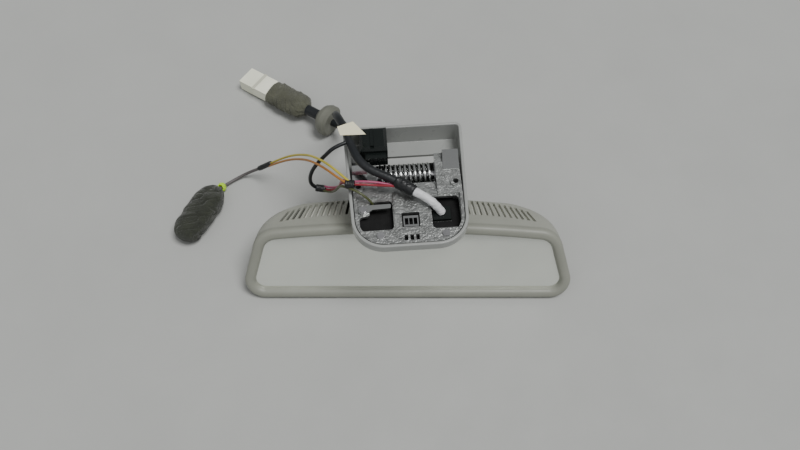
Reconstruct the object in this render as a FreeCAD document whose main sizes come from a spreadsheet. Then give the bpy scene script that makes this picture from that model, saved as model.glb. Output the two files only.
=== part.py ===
"""Interior rear-view mirror on its windscreen mount, with the wiring loom, as a parametric document.

Frame: the origin is the middle of the mount's fixing plane, where its two fixing holes are centred.
+Z points out of the fixing plane, +Y to the mount's straight far end, +X to its right.  The mirror head
hangs below the mount on a sprung arm and a ball, and stands on its lower edge at z = -rest_height.
Pieces of the head are drawn in the head's own frame: x to the right, y into the housing, z up the glass.
Pieces of the arm are drawn in the arm's frame: origin at the ball, z up the arm.  All sizes are in mm.
"""
import FreeCAD, Part
import math
import os
import re
import Sketcher

Vector = FreeCAD.Vector
Rotation = FreeCAD.Rotation
Placement = FreeCAD.Placement

DOC = FreeCAD.newDocument("interior_mirror")
SHEET = DOC.addObject("Spreadsheet::Sheet", "dims")

# Driving dimensions: alias, value, meaning.
DIMENSIONS = (
    ("rest_height", 86.4, "fixing plane above the surface that the head stands on"),
    ("lean_angle", 30.0, "how far the glass leans back, degrees"),
    ("head_yaw", 4.25, "how far the head is turned on the ball, degrees"),
    ("ball_deep", 26.0, "ball centre behind the bezel's front"),
    ("ball_high", 42.0, "ball centre above the head's lower edge"),
    ("arm_reach", 53.7, "ball centre to pivot shaft"),
    ("pivot_y", 16.0, "pivot shaft from the middle of the fixing plane"),
    # mirror head
    ("corner_x", 133.0, "half width where the sides would meet the lower edge"),
    ("side_slope", 0.30, "how fast the sides close in going up"),
    ("corner_top", 60.8, "height where the sides meet the top edge"),
    ("crown_top", 67.3, "height of the crowned top edge at the middle"),
    ("corner_low_r", 16.0, "lower corner radius of the head"),
    ("corner_top_r", 20.0, "upper corner radius of the head"),
    ("lip_wide", 8.4, "bezel lip across"),
    ("lip_deep", 6.0, "bezel lip from front to seam"),
    ("lip_round", 3.85, "rounding of the bezel lip"),
    ("sole_flat", 0.15, "how deep the flat goes that the head stands on"),
    ("spigot_deep", 13.0, "back of the bezel's spigot"),
    ("spigot_inset", 3.8, "spigot inside the head's outline"),
    ("glass_inset", 6.0, "glass edge inside the head's outline"),
    ("glass_front", 4.6, "front of the glass behind the bezel's front"),
    ("glass_thick", 2.0, "each glass plate"),
    ("gel_thick", 0.4, "dimming gel layer"),
    ("pad_thick", 0.8, "adhesive pad behind the glass"),
    ("edge_gap", 0.4, "clearance round the glass and the pieces behind it"),
    ("carrier_thick", 2.4, "carrier plate"),
    ("seam_gap", 0.3, "gap between bezel and housing"),
    ("housing_wall", 2.2, "housing wall"),
    ("housing_deep", 55.0, "housing back behind the bezel's front"),
    ("dome_start", 6.3, "depth where the housing starts to round off"),
    ("dome_end", 59.0, "depth at which the rounding would close"),
    ("dome_power", 2.6, "how square the rounding is: 2 is an ellipse"),
    ("crown_share", 0.8, "share of the housing's crown that is one arc"),
    ("top_start", 44.0, "depth where the housing's top starts to fall"),
    ("top_drop", 5.0, "fall of the housing's top at its back"),
    ("neck_half_wide", 13.0, "half width of the arm opening in the housing"),
    ("neck_near", 11.0, "near edge of the arm opening"),
    ("neck_far", 41.0, "far edge of the arm opening"),
    ("vent_count", 16, "vent slots on each side"),
    ("vent_pitch", 4.6, "slot spacing"),
    ("vent_wide", 2.2, "slot width"),
    ("vent_near", 20.5, "near end of the inner slots"),
    ("vent_far", 47.5, "far end of the inner slots"),
    ("vent_near_rise", 5.0, "how much nearer the outermost slot starts"),
    ("vent_far_fall", 15.0, "how much nearer the outermost slot ends"),
    ("vent_outer", 98.0, "near end of the outermost slot from the middle"),
    ("vent_skew", 5.0, "sideways lean of the outermost slot over its length"),
    ("baffle_thick", 1.0, "strip that closes the vent slots from inside"),
    ("baffle_gap", 0.2, "strip below the housing's top wall"),
    ("screw_r", 1.5, "screws that hold the housing"),
    ("screw_long", 12.0, "depth of the screws in their bosses"),
    ("screw_boss_r", 3.6, "screw boss of the housing"),
    ("screw_x", 62.0, "screws from the middle"),
    ("screw_low", 30.0, "lower screws above the head's lower edge"),
    ("screw_high", 52.0, "upper screws above the head's lower edge"),
    # electronics in the head
    ("board_x", 70.0, "near edge of the circuit board"),
    ("board_z", 20.0, "lower edge of the circuit board"),
    ("board_long", 34.0, "circuit board across"),
    ("board_high", 34.0, "circuit board up"),
    ("board_thick", 1.6, "circuit board"),
    ("board_front", 18.0, "front of the circuit board"),
    ("post_r", 2.2, "post that carries the board"),
    ("chip_wide", 7.0, "chips"),
    ("chip_thick", 1.5, "chips"),
    ("can_r", 3.0, "capacitor cans"),
    ("can_high", 6.0, "capacitor cans"),
    ("mic_r", 4.5, "microphone capsule"),
    ("mic_high", 6.0, "microphone capsule"),
    # ball joint
    ("ball_r", 8.0, "ball"),
    ("liner_gap", 0.25, "play between the shells of the ball joint"),
    ("liner_thick", 2.0, "nylon liner"),
    ("cage_thick", 1.5, "spring cage"),
    ("socket_thick", 2.7, "socket wall of the carrier"),
    ("shank_long", 12.0, "length of the stud's shank"),
    ("neck_r", 4.5, "neck of the ball stud"),
    ("shank_r", 3.0, "shank of the ball stud in the arm"),
    ("liner_mouth", 38.0, "half angle of the liner's mouth, degrees"),
    ("cage_mouth", 44.0, "half angle of the cage's mouth, degrees"),
    ("socket_mouth", 62.0, "half angle of the socket's mouth, degrees"),
    # arm and pivot
    ("stem_low", 14.0, "start of the arm's stem above the ball"),
    ("stem_low_r", 5.2, "stem radius at the ball"),
    ("stem_top_r", 7.0, "stem radius at the yoke"),
    ("yoke_low", 36.5, "underside of the yoke above the ball"),
    ("yoke_thick", 5.0, "yoke thickness"),
    ("yoke_half_deep", 5.5, "half depth of the yoke and its ears"),
    ("ear_inner", 22.6, "inner face of a fork ear from the middle"),
    ("ear_thick", 3.6, "fork ear"),
    ("ear_r", 7.0, "fork ear round the shaft"),
    ("shaft_r", 3.0, "pivot shaft"),
    ("shaft_half", 33.0, "half length of the pivot shaft"),
    ("shaft_play", 0.05, "radial play on the shaft"),
    ("ear_play", 0.4, "gap between fork ear and bracket ear"),
    ("spring_r", 8.3, "mean radius of the pivot spring"),
    ("spring_wire_r", 1.2, "wire of the pivot spring"),
    ("spring_pitch", 3.6, "pitch of the pivot spring"),
    ("washer_thick", 0.8, "spring washer"),
    ("washer_r", 9.4, "spring washer outside"),
    ("washer_gap", 0.25, "washer clear of its neighbours"),
    ("clip_thick", 0.8, "shaft clip"),
    ("clip_r", 4.8, "shaft clip outside"),
    ("groove_deep", 0.5, "groove for a shaft clip"),
    # mount cover
    ("cover_far", 54.0, "far end of the cover"),
    ("cover_near", 52.0, "near end of the cover"),
    ("cover_far_half", 45.8, "half width at the far end"),
    ("cover_near_half", 41.5, "half width at the near end"),
    ("near_corner_r", 24.0, "near corners"),
    ("far_corner_r", 5.0, "far corners"),
    ("near_deep", 9.0, "cover depth at the near end"),
    ("far_deep", 22.4, "cover depth at the far end"),
    ("cover_wall", 2.4, "cover wall"),
    ("cover_round", 3.0, "rounded lower edge of the cover"),
    ("rim_round", 0.9, "rounded rim of the cover"),
    ("port_half", 33.6, "half width of the arm port in the cover's floor"),
    ("port_near", 3.0, "near edge of the arm port"),
    ("port_far", 37.0, "far edge of the arm port"),
    ("port_corner_r", 8.0, "corners of the arm port"),
    ("lining_thick", 0.6, "felt on the cover's floor"),
    ("lining_gap", 0.8, "felt clear of the cover's wall"),
    ("lining_far", 1.0, "far end of the felt"),
    ("socket_l", 5.0, "socket of the olive wire"),
    ("socket_w", 3.4, "socket of the olive wire, across and up"),
    ("shroud_r", 11.2, "inside of the dust shield round the shaft"),
    ("shroud_thick", 1.2, "dust shield"),
    ("shroud_side", 0.3, "dust shield clear of the fork ears"),
    ("shroud_near", 62.0, "how far the dust shield reaches round on the near side, degrees"),
    ("shroud_turn", 172.0, "how far the dust shield reaches round the shaft, degrees"),
    # mount frame
    ("frame_gap", 0.6, "frame clear of the cover's wall"),
    ("plate_top", 3.6, "frame plate below the fixing plane"),
    ("plate_thick", 2.6, "frame plate"),
    ("plate_far", 4.0, "far edge of the frame plate, before the middle"),
    ("rim_top", 1.0, "frame's upstanding rim below the fixing plane"),
    ("rim_wide", 2.2, "frame's upstanding rim"),
    ("pillar_inner", 33.6, "inner face of a pillar"),
    ("pillar_near", 9.0, "near end of a pillar, before the middle"),
    ("pillar_far", 27.0, "far end of a pillar"),
    ("pillar_low", 10.5, "underside of a pillar below the fixing plane"),
    ("bridge_top", 2.0, "top plate of a pillar below the fixing plane"),
    ("bridge_thick", 2.6, "top plate of a pillar"),
    ("bridge_inner", 22.0, "inner edge of the right top plate"),
    ("bridge_far_left", 19.0, "far end of the left top plate"),
    ("hole_apart", 72.0, "fixing holes, centre to centre"),
    ("hole_r", 2.1, "fixing hole"),
    ("boss_r", 4.0, "fixing boss"),
    ("bracket_ear_thick", 4.0, "bracket ear on the shaft"),
    ("bracket_ear_r", 7.0, "bracket ear round the shaft"),
    ("shelf_half", 24.0, "half width of the low shelf before the spring"),
    ("shelf_top", 7.4, "low shelf below the fixing plane"),
    ("shelf_far", 5.0, "far edge of the low shelf"),
    ("window_r", 3.0, "corners of the frame's windows"),
    ("pad_left", 11.3, "left side of the frame's raised middle"),
    ("pad_right", 13.6, "right side of the frame's raised middle"),
    ("pad_far", 5.2, "far edge of the raised middle, before the middle"),
    ("pad_near", 22.4, "near edge of the raised middle"),
    ("pad_high", 1.3, "raised middle above the plate"),
    ("sill_high", 0.7, "raised sill round the middle window above the plate"),
    ("sill_right", 15.2, "right side of the sill"),
    ("sill_near", 39.6, "near edge of the sill"),
    # lock lever and clips
    ("lever_x", 33.5, "lever pin, left of the middle"),
    ("lever_y", 19.5, "lever pin, before the middle"),
    ("lever_pin_r", 1.5, "lever pin"),
    ("lever_thick", 1.6, "lever plate"),
    ("lever_gap", 0.3, "lever above the frame plate"),
    ("sheet_thick", 0.8, "spring steel of the clips"),
    ("clip_block_wide", 11.0, "middle clip across"),
    ("clip_block_long", 9.0, "middle clip along the frame"),
    ("clip_block_high", 2.6, "middle clip"),
    ("clip_slot_wide", 2.6, "slots of the middle clip"),
    ("clip_slot_pitch", 3.2, "slots of the middle clip, centre to centre"),
    ("clip_reach", 15.0, "retaining clip from its foot's end to its hook"),
    ("clip_rise", 5.0, "top of a retaining clip's ramp above its foot"),
    ("plug_bevel", 2.5, "bevel round the harness plug's top"),
    ("plug_groove_wide", 3.0, "groove of the harness plug's latch"),
    ("plug_groove_deep", 1.2, "groove of the harness plug's latch"),
    ("latch_gap", 0.2, "latch in its groove, each side"),
    ("bundle_left", 17.0, "left side of the bundle plug, right of the middle"),
    ("bundle_near", 28.5, "near end of the bundle plug, before the middle"),
    ("bundle_wide", 13.0, "bundle plug across"),
    ("bundle_long", 11.0, "bundle plug along the cover"),
    ("bundle_top", 6.4, "top of the bundle plug below the fixing plane"),
    ("plug_left", 33.4, "left side of the harness plug, left of the middle"),
    ("plug_wide", 21.0, "harness plug across"),
    ("plug_near", 29.0, "near end of the harness plug"),
    ("plug_long", 21.5, "harness plug along the cover"),
    ("plug_top", 5.0, "top of the harness plug above the fixing plane"),
    # wiring
    ("loom_r", 3.15, "main loom"),
    ("branch_r", 1.5, "branch lead"),
    ("wire_r", 0.9, "single wires"),
    ("mic_lead_r", 1.3, "microphone lead"),
    ("sleeve_r", 5.0, "shrink sleeve on the loom's end"),
    ("boot_r", 3.4, "white boot of the head's bundle"),
    ("grommet_r", 13.9, "rubber grommet"),
    ("grommet_back", 6.0, "grommet before its flange's middle"),
    ("grommet_long", 9.0, "grommet behind its flange's middle"),
    ("bore_gap", 0.15, "cord clear of a grommet's bore"),
    ("collar_long", 13.0, "collar between grommet and foam wrap"),
    ("wrap_start", 22.0, "near end of the foam wrap on the loom's line"),
    ("wrap_long", 40.0, "foam wrap along the loom's line"),
    ("wrap_end", 9.0, "foam wrap radius at its near end"),
    ("wrap_wide", 13.7, "half width of the foam wrap at the connector"),
    ("wrap_high", 8.7, "half height of the foam wrap"),
    ("plug_w", 18.0, "connector across"),
    ("plug_h", 10.6, "connector height"),
    ("plug_l", 31.0, "connector along the loom's line"),
    ("bag_x", -168.5, "middle of the foam bag"),
    ("bag_y", 33.5, "middle of the foam bag"),
    ("bag_turn", 59.5, "direction of the foam bag, degrees"),
    ("bag_half_long", 28.5, "half length of the foam bag"),
    ("bag_half_wide", 14.2, "half width of the foam bag"),
    ("bag_half_high", 9.6, "half height of the foam bag"),
    ("bag_edge_r", 8.9, "rounding of the foam bag's edges"),
    ("tie_wire_r", 1.1, "thickness of the bag's tie, as a radius"),
    ("tie_room", 1.6, "middle of the tie's band outside the lead"),
    ("collar_wall", 1.4, "collar round the loom"),
    ("wrap_shoulder", 8.0, "length over which the wrap opens out"),
    ("wrap_shoulder_wide", 12.4, "half width of the wrap at its shoulder"),
    ("waist_at", 13.0, "groove for the lock slide from the connector's near end"),
    ("waist_long", 3.2, "groove for the lock slide, along the connector"),
    ("waist_deep", 1.2, "groove for the lock slide"),
    ("slide_play", 0.1, "lock slide in its groove, each side"),
    ("slide_proud", 0.8, "lock slide beyond the connector's sides"),
    ("cell_pitch", 2.2, "terminal cells, centre to centre"),
    ("cell_wide", 1.4, "terminal cell"),
    ("cell_high", 2.2, "terminal cell"),
    ("cell_deep", 7.0, "terminal cell"),
    ("cell_count", 7, "terminal cells in a row"),
    ("cell_row", 4.6, "rows of cells, apart"),
    ("label_thick", 0.5, "label"),
    ("label_high", 14.1, "paper label above the fixing plane"),
)


# ---------------------------------------------------------------- sheet and document helpers

ALIASES = {alias for alias, _, _ in DIMENSIONS}


def fill_sheet():
    """Write each driving dimension as a row of name, value and meaning."""
    for row, (alias, number, meaning) in enumerate(DIMENSIONS, start=1):
        SHEET.set(f"A{row}", alias)
        SHEET.set(f"B{row}", str(number))
        SHEET.set(f"C{row}", meaning)
        SHEET.setAlias(f"B{row}", alias)
    DOC.recompute()


# Sizes that follow from the driving ones, in the same plain aliases.
DERIVED = {
    "liner_inner": "(ball_r+liner_gap)",
    "cage_inner": "(ball_r+2*liner_gap+liner_thick)",
    "socket_inner": "(ball_r+3*liner_gap+liner_thick+cage_thick)",
    "socket_outer": "(ball_r+3*liner_gap+liner_thick+cage_thick+socket_thick)",
    "bracket_x": "(ear_inner+ear_thick+ear_play)",
    "clip_x": "(ear_inner+ear_thick+ear_play+bracket_ear_thick+washer_gap)",
}


def bound(text):
    """Turn an expression in plain aliases into one that other objects can follow."""
    def swap(match):
        word = match[0]
        if word in DERIVED:
            return bound(DERIVED[word])
        return f"dims.{word}" if word in ALIASES else word
    return re.sub(r"[a-z_]+", swap, str(text))


def value(text):
    """Work out an expression in plain aliases."""
    return float(ANCHOR.evalExpression(bound(text)))


def bind(target, **expressions):
    """Bind properties of an object to expressions."""
    for name, text in expressions.items():
        target.setExpression(name, bound(text))


def place(target, x="0", y="0", z="0", rotation=None):
    """Place an object with a bound position and an optional fixed rotation."""
    target.Placement = Placement(Vector(value(x), value(y), value(z)), rotation or Rotation())
    for axis, text in (("x", x), ("y", y), ("z", z)):
        target.setExpression(f"Placement.Base.{axis}", bound(text))


def body(label, placement=None):
    """Start a PartDesign body, in the mount's frame or in a given one."""
    made = DOC.addObject("PartDesign::Body", label)
    made.AllowCompound = True
    made.Label = label
    if placement:
        made.Placement = placement
    return made


def sketch(owner, name, role, offset="0"):
    """Open a sketch on one of the body's origin planes, moved along the plane's normal."""
    made = owner.newObject("Sketcher::SketchObject", name)
    plane = next(f for f in owner.Origin.OriginFeatures if f.Role == role)
    made.AttachmentSupport = [(plane, "")]
    made.MapMode = "FlatFace"
    made.AttachmentOffset = Placement(Vector(0, 0, value(offset)), Rotation())
    made.setExpression("AttachmentOffset.Base.z", bound(offset))
    return made


def fix_point(drawing, geometry, point, x, y):
    """Hold a sketch point at a bound place."""
    for kind, text in (("DistanceX", x), ("DistanceY", y)):
        rule = Sketcher.Constraint(kind, -1, 1, geometry, point, value(text))
        index = drawing.addConstraint(rule)
        drawing.setExpression(f"Constraints[{index}]", bound(text))


def polygon(drawing, corners):
    """Draw a closed polygon whose corners follow bound places."""
    first = drawing.GeometryCount
    count = len(corners)
    spots = [Vector(value(x), value(y), 0) for x, y in corners]
    for i in range(count):
        drawing.addGeometry(Part.LineSegment(spots[i], spots[(i + 1) % count]), False)
    for i in range(count):
        rule = Sketcher.Constraint("Coincident", first + i, 2, first + (i + 1) % count, 1)
        drawing.addConstraint(rule)
    for i, (x, y) in enumerate(corners):
        fix_point(drawing, first + i, 1, x, y)
    return drawing


def rectangle(drawing, x0, y0, x1, y1):
    """Draw a rectangle between two bound corners."""
    return polygon(drawing, ((x0, y0), (x1, y0), (x1, y1), (x0, y1)))


def circle(drawing, x, y, radius):
    """Draw a circle with a bound centre and radius."""
    centre = Vector(value(x), value(y), 0)
    index = drawing.addGeometry(Part.Circle(centre, Vector(0, 0, 1), value(radius)), False)
    fix_point(drawing, index, 3, x, y)
    rule = drawing.addConstraint(Sketcher.Constraint("Radius", index, value(radius)))
    drawing.setExpression(f"Constraints[{rule}]", bound(radius))
    return drawing


def pad(owner, drawing, length, backwards=False):
    """Pad a sketch along its normal, or against it."""
    made = owner.newObject("PartDesign::Pad", f"pad_{drawing.Name}")
    made.Profile = drawing
    made.Reversed = backwards
    bind(made, Length=length)
    DOC.recompute()
    return made


def pocket(owner, drawing, length=None, backwards=False, both=False):
    """Cut a sketch out of the body, and make sure that it took something away."""
    before = owner.Shape.Volume
    made = owner.newObject("PartDesign::Pocket", f"cut_{drawing.Name}")
    made.Profile = drawing
    made.Reversed = backwards
    made.Midplane = both
    if length is None:
        made.Type = "ThroughAll"
    else:
        bind(made, Length=length)
    DOC.recompute()
    if owner.Shape.Volume >= before:
        raise RuntimeError(f"{made.Name} cuts nothing")
    return made


def edges_where(shape, test):
    """Name the edges whose two ends pass a test."""
    return [f"Edge{i}" for i, edge in enumerate(shape.Edges, start=1)
            if len(edge.Vertexes) == 2 and test(edge)]


def along(edge, axis):
    """Say whether an edge is straight along an axis."""
    ends = edge.Vertexes[1].Point - edge.Vertexes[0].Point
    return abs(abs(ends.dot(axis)) - edge.Length) < 1e-4


def fillet(owner, base, names, radius):
    """Round named edges of a feature."""
    made = owner.newObject("PartDesign::Fillet", f"round_{base.Name}")
    made.Base = (base, names)
    bind(made, Radius=radius)
    DOC.recompute()
    return made


def corner_fillet(owner, base, axis, radius, test):
    """Round the corners along an axis whose middle passes a test."""
    def chosen(edge):
        return along(edge, axis) and test(edge.CenterOfMass)
    return fillet(owner, base, edges_where(base.Shape, chosen), radius)


def primitive(kind, name, sizes, x="0", y="0", z="0", rotation=None):
    """Make a Part primitive with bound sizes and place."""
    made = DOC.addObject(f"Part::{kind}", name)
    bind(made, **sizes)
    place(made, x, y, z, rotation)
    return made


def combine(kind, name, pieces):
    """Fuse or intersect several shapes."""
    made = DOC.addObject(f"Part::Multi{kind}", name)
    made.Shapes = pieces
    return made


def cut(name, base, tool):
    """Take one shape out of another."""
    made = DOC.addObject("Part::Cut", name)
    made.Base = base
    made.Tool = tool
    return made


def settle(target, placement):
    """Give an object a worked-out placement in place of its bound position."""
    for axis in "xyz":
        target.setExpression(f"Placement.Base.{axis}", None)
    target.Placement = placement


def finished(target, label, placement=None):
    """Give a sub-part its label and its place, and list it for export."""
    target.Label = label
    if placement:
        settle(target, placement.multiply(target.Placement))
    SUBPARTS.append(target)
    return target


def solid_feature(label, shape, placement=None):
    """Keep a shape made with Part's own functions as a sub-part."""
    made = DOC.addObject("Part::Feature", label)
    made.Shape = shape
    return finished(made, label, placement)


ANCHOR = DOC.addObject("App::FeaturePython", "reader")
SUBPARTS = []
X_AXIS = Vector(1, 0, 0)
Y_AXIS = Vector(0, 1, 0)
Z_AXIS = Vector(0, 0, 1)
ALONG_X = Rotation(Y_AXIS, 90)
ALONG_Y = Rotation(X_AXIS, -90)
fill_sheet()

LEAN = math.radians(value("lean_angle"))
# The head stands on a narrow flat of its rounded lip, this far below the head's own origin.
SOLE_DROP = value("lip_round") * (1 - math.cos(LEAN) + math.sin(LEAN)) - value("sole_flat")
BALL_LIFT = value("ball_high") * math.cos(LEAN) - value("ball_deep") * math.sin(LEAN) + SOLE_DROP
BALL_Z = BALL_LIFT - value("rest_height")
BALL = Vector(0, value("pivot_y") - value("arm_reach") * math.sin(LEAN), BALL_Z)
PIVOT = BALL + Vector(0, math.sin(LEAN), math.cos(LEAN)) * value("arm_reach")
PIVOT_Y = "pivot_y"
PIVOT_Z = f"({PIVOT.z!r})"
HEAD_TURN = Rotation(Z_AXIS, -value("head_yaw")).multiply(Rotation(X_AXIS, -value("lean_angle")))
HEAD = Placement(BALL, HEAD_TURN).multiply(
    Placement(Vector(0, -value("ball_deep"), -value("ball_high")), Rotation()))
HEAD_BALL = Placement(BALL, HEAD_TURN)
ARM = Placement(BALL, Rotation(X_AXIS, -value("lean_angle")))
# Side, outer and inner end of each strip behind the vents, counted in slots from the outermost.
BAFFLE_SPANS = ((-1, 3.5, 10.5), (-1, 12.5, 15.8), (1, -0.5, 15.8))
LEAD_SOCKET = ("-28", "-15.2", "-11")
FRAME_SCREWS = (("-22", "-41"), ("25", "-42"))
SCREW_PLACES = [(f"{side}*screw_x", high) for side in (-1, 1) for high in ("screw_low", "screw_high")]
BOARD_POSTS = [(x, z) for x in ("board_x+3", "board_x+board_long-3")
               for z in ("board_z+3", "board_z+board_high-3")]


# ---------------------------------------------------------------- mirror head: outline and plates

def head_outline(drawing, inset):
    """Draw the head's outline, moved inwards by an inset: three straight edges and a crowned top."""
    edge = f"({inset})*sqrt(1+side_slope^2)"
    low_x = f"(corner_x-side_slope*({inset})-{edge})"
    top_z = f"(corner_top-({inset}))"
    top_x = f"(corner_x-side_slope*{top_z}-{edge})"
    crown = "(crown_top-corner_top)"
    corners = ((f"-{top_x}", top_z), (f"-{low_x}", inset), (low_x, inset), (top_x, top_z))
    spots = [Vector(value(x), value(z), 0) for x, z in corners]
    for start, end in zip(spots, spots[1:]):
        drawing.addGeometry(Part.LineSegment(start, end), False)
    peak = Vector(0, value(f"{top_z}+{crown}"), 0)
    top = drawing.addGeometry(Part.Arc(spots[3], peak, spots[0]), False)
    for line in range(2):
        drawing.addConstraint(Sketcher.Constraint("Coincident", line, 2, line + 1, 1))
    drawing.addConstraint(Sketcher.Constraint("Coincident", 2, 2, top, 1))
    drawing.addConstraint(Sketcher.Constraint("Coincident", top, 2, 0, 1))
    for line, (x, z) in enumerate(corners[:3]):
        fix_point(drawing, line, 1, x, z)
    fix_point(drawing, 2, 2, *corners[3])
    radius = f"({top_x}^2+{crown}^2)/(2*{crown})"
    rule = drawing.addConstraint(Sketcher.Constraint("Radius", top, value(radius)))
    drawing.setExpression(f"Constraints[{rule}]", bound(radius))
    return drawing


def head_plate(label, inset, front, thick):
    """A plate of the head's outline: a polygon pad whose corners are rounded."""
    owner = body(label, HEAD)
    drawing = head_outline(sketch(owner, f"{label}_outline", "XZ_Plane", f"-({front})"), inset)
    base = pad(owner, drawing, thick, backwards=True)
    middle = value("crown_top") / 2
    base = corner_fillet(owner, base, Y_AXIS, f"corner_low_r-({inset})", lambda p: p.z < middle)
    corner_fillet(owner, base, Y_AXIS, f"corner_top_r-({inset})", lambda p: p.z > middle)
    return owner


def bezel():
    """Front frame: a half-round lip with a spigot behind it that holds the glass."""
    lip = head_plate("bezel_lip", "0", "0", "lip_deep")
    spigot = head_plate("bezel_spigot", "spigot_inset", "lip_deep", "spigot_deep-lip_deep")
    hole = head_plate("bezel_hole", "lip_wide", "-1", "spigot_deep+2")
    seat = head_plate("bezel_seat", "glass_inset-edge_gap", "glass_front-0.1", "spigot_deep")
    for tool in (lip, spigot, hole, seat):
        tool.Placement = Placement()
    frame = cut("bezel_frame", lip, hole)
    DOC.recompute()
    front = edges_at(frame.Shape, Y_AXIS, 0)
    rounded = DOC.addObject("Part::Fillet", "bezel_rounded")
    rounded.Base = frame
    radius = value("lip_round")
    rounded.Edges = [(index, radius, radius) for index in front]
    level = cut("bezel_level", rounded, below_floor("bezel_sole"))
    room = DOC.addObject("Part::Feature", "spigot_room")
    room.Shape = housing_cavity(value("edge_gap"))
    trimmed = combine("Common", "spigot_trimmed", [spigot, room])
    whole = combine("Fuse", "bezel_whole", [level, trimmed])
    opened = cut("bezel_opened", whole, hole)
    return finished(cut("bezel", opened, seat), "bezel", HEAD)


def below_floor(name, inset="0"):
    """Block under the plane that the head stands on, or an inset above it, in the head's frame."""
    half = "2*corner_x"
    block = primitive("Box", name, {"Length": f"2*({half})", "Width": half, "Height": half})
    lean = Rotation(X_AXIS, value("lean_angle"))
    drop = Vector(-value(half), -value(half) / 2, -value(half))
    sole = Vector(0, 0, (value(inset) - SOLE_DROP) / math.cos(LEAN))
    settle(block, Placement(sole, lean).multiply(Placement(drop, Rotation())))
    return block


def edges_at(shape, axis, level):
    """Numbers of the edges that lie flat at one level along an axis."""
    def flat(edge):
        return all(abs(v.Point.dot(axis) - level) < 1e-6 for v in edge.Vertexes)
    return [i for i, edge in enumerate(shape.Edges, start=1) if flat(edge)]


def glass_stack():
    """Front glass, dimming gel, silvered rear glass and adhesive pad, one behind the other."""
    front = "glass_front"
    layers = (("front_glass", "glass_inset", "glass_thick"),
              ("dimming_gel", "glass_inset+1.5", "gel_thick"),
              ("rear_glass", "glass_inset", "glass_thick"),
              ("glass_pad", "glass_inset+1", "pad_thick"))
    for label, inset, thick in layers:
        finished(head_plate(label, inset, front, thick), label)
        front = f"{front}+{thick}"


# ---------------------------------------------------------------- mirror head: housing

def rounded_wire(corners, radii):
    """Closed wire through corners, each rounded by a tangent arc."""
    edges = []
    starts = []
    count = len(corners)
    for i, (corner, radius) in enumerate(zip(corners, radii)):
        back = (corners[i - 1] - corner).normalize()
        ahead = (corners[(i + 1) % count] - corner).normalize()
        half = back.getAngle(ahead) / 2
        reach = radius / math.tan(half)
        middle = (back + ahead).normalize() * (radius / math.sin(half) - radius)
        starts.append((corner + back * reach, corner + middle, corner + ahead * reach))
    for i, (enter, middle, leave) in enumerate(starts):
        edges.append(Part.Arc(enter, middle, leave).toShape())
        edges.append(Part.LineSegment(leave, starts[(i + 1) % count][0]).toShape())
    return Part.Wire(edges)


def dome(deep):
    """Share of the full width that the domed back keeps at a depth: a quarter superellipse in plan."""
    share = (deep - value("dome_start")) / (value("dome_end") - value("dome_start"))
    power = value("dome_power")
    return (1 - max(share, 0.0) ** power) ** (1 / power)


def housing_section(deep, inset):
    """Rounded outline of the housing at one depth, moved inwards by an inset."""
    slope = value("side_slope")
    edge = inset * math.sqrt(1 + slope ** 2)
    fall = max(deep - value("top_start"), 0.0) / (value("housing_deep") - value("top_start"))
    sink = value("top_drop") * fall ** 2
    low = deep * math.tan(LEAN) - SOLE_DROP / math.cos(LEAN) + inset / math.cos(LEAN)
    low = max(low, inset)
    top = value("corner_top") - inset - sink
    low_x = (value("corner_x") - slope * low) * dome(deep) - edge
    top_x = (value("corner_x") - slope * top) * dome(deep) - edge
    share = value("crown_share")
    rise = (value("crown_top") - value("corner_top")) * dome(deep) / (1 - share / 2)
    crown = top + rise
    corners = [Vector(x, deep, z) for x, z in
               ((-low_x, low), (low_x, low), (top_x, top), (0, crown), (-top_x, top))]
    tall = (top - low) / value("corner_top")
    low_r = (value("corner_low_r") - inset) * tall
    top_r = (value("corner_top_r") - inset) * tall
    crown_r = share * top_x ** 2 / rise
    return rounded_wire(corners, (low_r, low_r, top_r, crown_r, top_r))


def housing_depths(front, back):
    """Depths of the sections, closer together where the back rounds off."""
    steps = 12
    return [front + (back - front) * math.sin(math.pi / 2 * i / steps) for i in range(steps + 1)]


def housing_solid(front, back, inset):
    """Solid through the sections from a front depth to a back depth."""
    wires = [housing_section(deep, inset) for deep in housing_depths(front, back)]
    return Part.makeLoft(wires, True, False)


def housing_cavity(gap):
    """Space inside the housing's walls, moved inwards by a gap."""
    wall = value("housing_wall")
    return housing_solid(value("lip_deep+seam_gap") - 1, value("housing_deep") - wall,
                         value("edge_gap") + wall + gap)


def vent_line(side, number):
    """Near and far end of a slot, or of a line between two slots, as sheet expressions."""
    from_middle = f"(vent_outer-{number}*vent_pitch)"
    share = f"({from_middle}/vent_outer)"
    near_x = f"{side}*{from_middle}"
    far_x = f"{side}*({from_middle}-vent_skew*{share}^2)"
    return near_x, f"(vent_near-vent_near_rise*{share}^4)", far_x, f"(vent_far-vent_far_fall*{share}^4)"


def vent_slots(name, low, high):
    """Both rows of slanted vent slots, as one group of upright prisms in the head's frame."""
    owner = body(name)
    half = "vent_wide/2"
    for side in (-1, 1):
        drawing = sketch(owner, f"{name}_{'left' if side < 0 else 'right'}", "XY_Plane", low)
        for i in range(int(value("vent_count"))):
            near, near_y, far, far_y = vent_line(side, i)
            polygon(drawing, ((f"{near}-{half}", near_y), (f"{near}+{half}", near_y),
                              (f"{far}+{half}", far_y), (f"{far}-{half}", far_y)))
        pad(owner, drawing, f"({high})-({low})")
    return owner


def neck_opening():
    """Rounded opening in the top of the housing for the arm."""
    owner = body("neck_opening")
    drawing = rectangle(sketch(owner, "neck_outline", "XY_Plane", "ball_high+socket_thick"),
                        "-neck_half_wide", "neck_near", "neck_half_wide", "neck_far")
    base = pad(owner, drawing, "crown_top")
    corner_fillet(owner, base, Z_AXIS, "neck_half_wide*0.9", lambda p: True)
    return owner


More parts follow.
